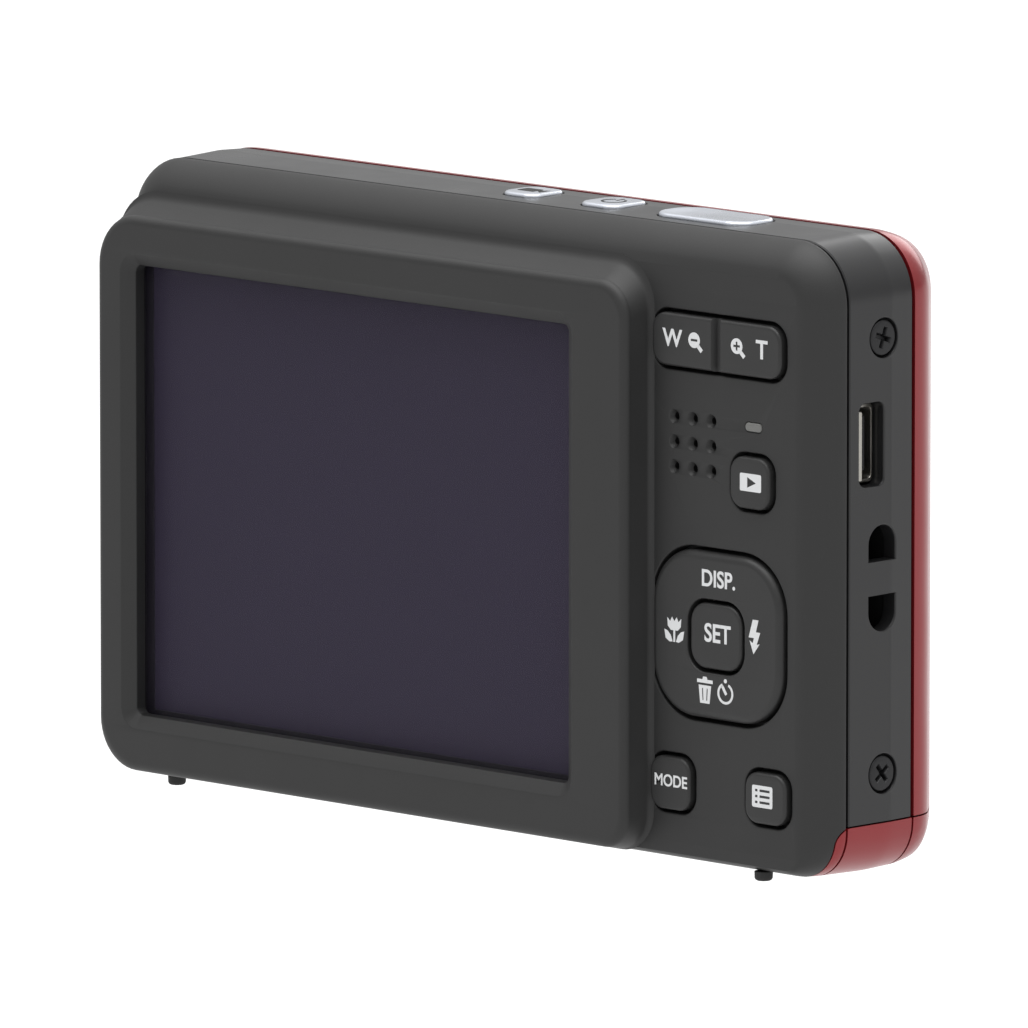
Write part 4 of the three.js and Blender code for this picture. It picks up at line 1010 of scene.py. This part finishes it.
def lens():
    at = (LENS_X, LENS_Z)
    ring_front, ring_back = span("lens_trim_ring", "y")
    profile = [(TRIM_BORE, ring_back), (19.75, ring_back), (19.8, ring_back - 0.15), (19.62, -7.1),
               (19.45, -7.25), (19.45, -7.45), (19.55, -7.6), (18.9, -9.6), (18.7, -10.05),
               (TRIM_BORE, ring_front), (18.2, ring_front), (18.08, -10.08), (18.08, -9.4),
               (TRIM_BORE, -9.2)]
    dress(lathe("lens_trim_bezel", profile, 144, at=at), "barrel_metal", nodes=["lens_trim_ring"])
    # Dark stepped light trap between the trim and the barrels.
    trap = [(17.95, -8.95), (17.95, -9.25), (16.9, -9.25), (16.85, -9.1), (16.85, -8.95)]
    dress(lathe("lens_light_trap", trap, 120, at=at), "inner_plastic")
    out_front, out_back = span("outer_barrel", "y")
    grooves = []
    for i in range(9):
        y = out_front + 1.1 + i * 0.55
        grooves += [(13.9, y), (13.82, y + 0.06), (13.82, y + 0.16), (13.9, y + 0.22)]
    lip = [(12.7, 0.3), (12.95, 0.06), (13.1, 0), (13.5, 0), (13.76, 0.08), (13.88, 0.28)]
    profile = [(r, out_front + d) for r, d in lip] + grooves
    profile += [(13.9, out_back - 0.15), (13.8, out_back), (12.75, out_back), (12.7, out_back - 0.1)]
    dress(lathe("outer_barrel_tube", profile, 144, at=at), "barrel_metal", body="barrel_outer",
          nodes=["outer_barrel"])
    in_front, in_back = span("inner_barrel", "y")
    nose = [(4.9, 0.65), (5.0, 0.35), (5.5, 0.12), (6.4, 0.32), (7.4, 0.32), (7.55, 0.1), (7.9, 0.1),
            (8.05, 0.22), (10.9, 0.1), (11.2, 0), (11.75, 0), (12.1, 0.1), (12.33, 0.34), (12.4, 0.6),
            (12.4, 2.0), (12.33, 2.06), (12.33, 2.2), (12.4, 2.26)]
    profile = [(r, in_front + d) for r, d in nose]
    profile += [(12.4, in_back - 0.1), (12.3, in_back), (11.3, in_back), (11.3, -8.4), (5.2, -8.4),
                (5.2, -9.2), (11.3, -9.2), (11.3, -13.3), (4.9, -13.3)]
    dress(lathe("inner_barrel_tube", profile, 144, at=at), "barrel_metal", body="barrel_inner",
          nodes=["inner_barrel"])
    # Black front ring set into the barrel's face.
    ring = [(7.95, 0.2), (8.0, 0.13), (10.7, 0.01), (10.85, 0.09), (10.85, 0.3), (7.95, 0.4)]
    ring = [(r, in_front + d) for r, d in ring]
    dress(lathe("lens_name_ring_blank", ring, 120, at=at), "barrel_ring", body="barrel_inner",
          slot="barrel_metal")
    # Barrier blades, each half a disc with an arm towards its pivot.
    for name, body, sign in (("barrier_blade_upper", "blade_upper", 1),
                             ("barrier_blade_lower", "blade_lower", -1)):
        y0, y1 = span(name, "y")

        def blade(g=0.0, sign=sign):
            pts = [(4.75 + g, 0.09 - g)]
            pts += [((4.8 + g) * math.cos(math.pi * 0.8 * i / 26),
                     0.08 + (4.8 + g) * math.sin(math.pi * 0.8 * i / 26)) for i in range(1, 27)]
            pts += [(-7.55 - g, 1.3 + g), (-7.55 - g, 0.09 - g)]
            return [(LENS_X + sign * u, LENS_Z + sign * v) for u, v in pts]
        b = Builder()
        b.solid([(blade(0), y1), (blade(0), y0 + 0.1), (blade(-0.05), y0 + 0.03), (blade(-0.12), y0)])
        dress(b.make(name + "_leaf"), "black_screw", body=body, nodes=[name])
    # Glass: curved front and rear faces.
    for name, body, front_r, rear_r in (("front_lens", "barrel_inner", 13.0, 26.0),
                                        ("focus_lens", "camera_body", 14.0, 40.0)):
        y0, y1 = span(name, "y")
        steps = [LENS_RADIUS * i / 12 for i in range(1, 13)]
        profile = [(rho, y0 + sag(front_r, rho)) for rho in steps]
        profile += [(rho, y1 - sag(rear_r, rho)) for rho in reversed(steps)]
        dress(lathe(name + "_glass", profile, 72, at=at, solid=True), "lens_glass", body=body, nodes=[name])
    # Flash, focus lamp.
    f0, f1 = span("flash_window", "y")
    fx, _, fz = centre("flash_window")
    b = Builder()
    b.solid([(FLASH(0), f1)] + outer_lip(FLASH, f0, 0.25, 0.5, n=5, sign=-1))
    dress(b.make("flash_window_pane"), "clear", nodes=["flash_window"])
    # Fresnel ribs behind the pane.
    b = Builder("z")
    count = 22
    section = [(fx + 5.7 - 11.4 * i / count, f1 + (0.2 if i % 2 else 0.02)) for i in range(count + 1)]
    section += [(fx - 5.7, f1 + 0.24), (fx + 5.7, f1 + 0.24)]
    b.solid([(section, fz - 2.9), (section, fz + 2.9)])
    dress(b.make("flash_fresnel_ribs", smooth=False), "clear")
    l0, l1 = span("focus_lamp", "y")
    profile = [(1.5 * math.sin(math.radians(a)), l0 + 0.4 * (1 - math.cos(math.radians(a))))
               for a in range(9, 91, 9)]
    dress(lathe("focus_lamp_dome", profile + [(1.5, l1)], 48, at=(LAMP_X, LAMP_Z), solid=True), "clear",
          nodes=["focus_lamp"])


# ------------------------------------------------------------------ underside and battery bay
def underside():
    for node in ("foot_rear_grip", "foot_rear_far", "foot_front_grip", "foot_front_far"):
        x, y, _ = centre(node)
        z0, z1 = span(node, "z")
        profile = [(0.45, z0), (0.62, z0 + 0.03), (0.78, z0 + 0.12), (0.86, z0 + 0.28), (0.88, z1 + 0.35)]
        body = "door" if node == "foot_front_grip" else "camera_body"
        dress(lathe(node + "_nub", profile, 32, axis="z", at=(x, y), solid=True), "rubber", body=body,
              nodes=[node])
    x, y, _ = centre("tripod_socket")
    z0, z1 = span("tripod_socket", "z")
    pitch, threads = 1.27, 4
    thread = [(2.55 if i % 2 else 2.95, z0 + 0.5 + i * pitch / 2) for i in range(threads * 2)]
    profile = [(3.05, z0 + 0.05), (3.5, z0), (3.66, z0 + 0.1), (3.7, z0 + 0.2), (3.7, z0 + 1.6),
               (4.3, z0 + 1.65), (4.3, z1), (2.6, z1)] + thread[::-1] + [(2.95, z0 + 0.3)]
    dress(lathe("tripod_socket_bush", profile, 72, axis="z", at=(x, y)), "brass", nodes=["tripod_socket"])


def cells():
    for node, nub_up in (("battery_cell_1", True), ("battery_cell_2", False)):
        x, y, _ = centre(node)
        z0, z1 = span(node, "z")

        def level(h):
            return z0 + h if nub_up else z1 - h
        wrap = [(6.7, 0.02), (7.1, 0.12), (7.24, 0.4), (7.25, 0.8), (7.25, 48.2), (7.2, 48.6), (6.9, 48.95),
                (6.3, 49.0)]
        can = [(6.4, 0.08), (3.4, 0.08), (3.1, 0.0), (0.5, 0.0)]
        nub = [(6.4, 48.9), (3.2, 48.9), (2.8, 49.1), (2.72, 50.2), (2.5, 50.45), (0.5, 50.5)]
        for end, profile, n, key, nodes in (("_wrap", wrap, 72, "cell", [node]),
                                            ("_base_cap", can, 56, "steel", []),
                                            ("_nub_cap", nub, 56, "steel", [])):
            turned = [(r, level(h)) for r, h in profile]
            dress(lathe(node + end, turned, n, axis="z", at=(x, y), solid=True), key, nodes=nodes)
    lo, hi = mm_box("memory_card")
    b = Builder()
    (x0, _, z0), (x1, _, z1) = lo, hi
    card = [(x0, z0 + 0.3), (x0 + 0.3, z0), (x1 - 0.3, z0), (x1, z0 + 0.3), (x1, z1 - 0.2), (x1 - 0.2, z1),
            (x0 + 4, z1), (x0, z1 - 4)]
    mid_x, mid_z = centre("memory_card")[0], 20
    inset = [(u + (0.25 if u < mid_x else -0.25), v + (0.25 if v < mid_z else -0.25)) for u, v in card]
    b.solid([(inset, lo[1]), (card, lo[1] + 0.25), (card, hi[1] - 0.25), (inset, hi[1])])
    dress(b.make("memory_card_case"), "inner_plastic", nodes=["memory_card"])


def carried_over():
    """CAD solids whose shape is right keep it, and get their slot's detailed material."""
    slot_of = {s["node"]: s["material_slot"] for s in frame["record"]["subparts"]}
    for name, obj in frame["nodes"].items():
        for item in obj.material_slots:
            item.material = M[slot_of[name]]


# ------------------------------------------------------------------ stage
def stage():
    # The floor lies low enough for the open battery door to hang clear of it, and turns up at its far edges.
    floor = bpy.data.meshes.new("floor")
    r, low, rim = 3.0, -0.04, 0.1
    corners = [(-r, -r), (r, -r), (r, r), (-r, r)]
    floor.from_pydata([(*c, low) for c in corners] + [(*c, rim) for c in corners], [],
                      [(0, 1, 2, 3)] + [(i, (i + 1) % 4, (i + 1) % 4 + 4, i + 4) for i in range(4)])
    obj = bpy.data.objects.new("floor", floor)
    link(obj)
    mat = material("pale_floor", (0.13, 0.13, 0.13, 1), rough=0.6, mottle=0.004,
                   sockets={"Emission Color": (1, 1, 1, 1), "Emission Strength": 0.9})
    obj.data.materials.append(mat)
    world = bpy.data.worlds.new("studio")
    bpy.context.scene.world = world
    world.use_nodes = True
    nodes, links = world.node_tree.nodes, world.node_tree.links
    background = nodes["Background"]
    background.inputs["Color"].default_value = (1, 1, 1, 1)
    # The studio is brighter overhead than round the horizon.
    coords, axes, sky = (nodes.new("ShaderNode" + kind) for kind in ("TexCoord", "SeparateXYZ", "MapRange"))
    links.new(coords.outputs["Generated"], axes.inputs[0])
    links.new(axes.outputs["Z"], sky.inputs["Value"])
    sky.inputs["To Min"].default_value, sky.inputs["To Max"].default_value = 0.4, 1.45
    links.new(sky.outputs["Result"], background.inputs["Strength"])

    def area(name, place, size, power, aim=(0, 0, 0.03)):
        data = bpy.data.lights.new(name, "AREA")
        data.shape, data.size, data.size_y, data.energy = "RECTANGLE", size[0], size[1], power
        light = bpy.data.objects.new(name, data)
        light.location = place
        light.rotation_euler = (Vector(aim) - Vector(place)).to_track_quat("-Z", "Y").to_euler()
        link(light)

    area("overhead", (0.0, 0.1, 0.8), (0.9, 0.7), 5.8)
    area("grip_side", (-0.8, 0.25, 0.45), (0.4, 0.7), 0.2)
    area("front_fill", (0.27, -0.93, 0.47), (0.6, 0.6), 2.2)
    bpy.context.scene.view_settings.view_transform = "Standard"


def camera():
    azimuth, elevation = math.radians(AZIMUTH), math.radians(ELEVATION)
    back = Vector((-math.sin(azimuth) * math.cos(elevation), math.cos(azimuth) * math.cos(elevation),
                   math.sin(elevation)))
    aim = Vector((-3.17 * MM, REAR_SEAM * MM, 30.67 * MM))
    data = bpy.data.cameras.new("camera")
    data.sensor_width, data.lens = 36.0, FOCAL_MM
    data.clip_start, data.clip_end = 0.05, 50.0
    cam = bpy.data.objects.new("camera", data)
    cam.location = aim + back * DISTANCE
    cam.rotation_mode = "QUATERNION"
    cam.rotation_quaternion = (-back).to_track_quat("-Z", "Y")
    link(cam)
    bpy.context.scene.camera = cam


camera()
rear_cover()
bezel()
display()
keys()
legends()
middle_frame()
seam_tongues()
side_fittings()
top_keys()
front_and_door()
lens()
underside()
cells()
carried_over()
stage()
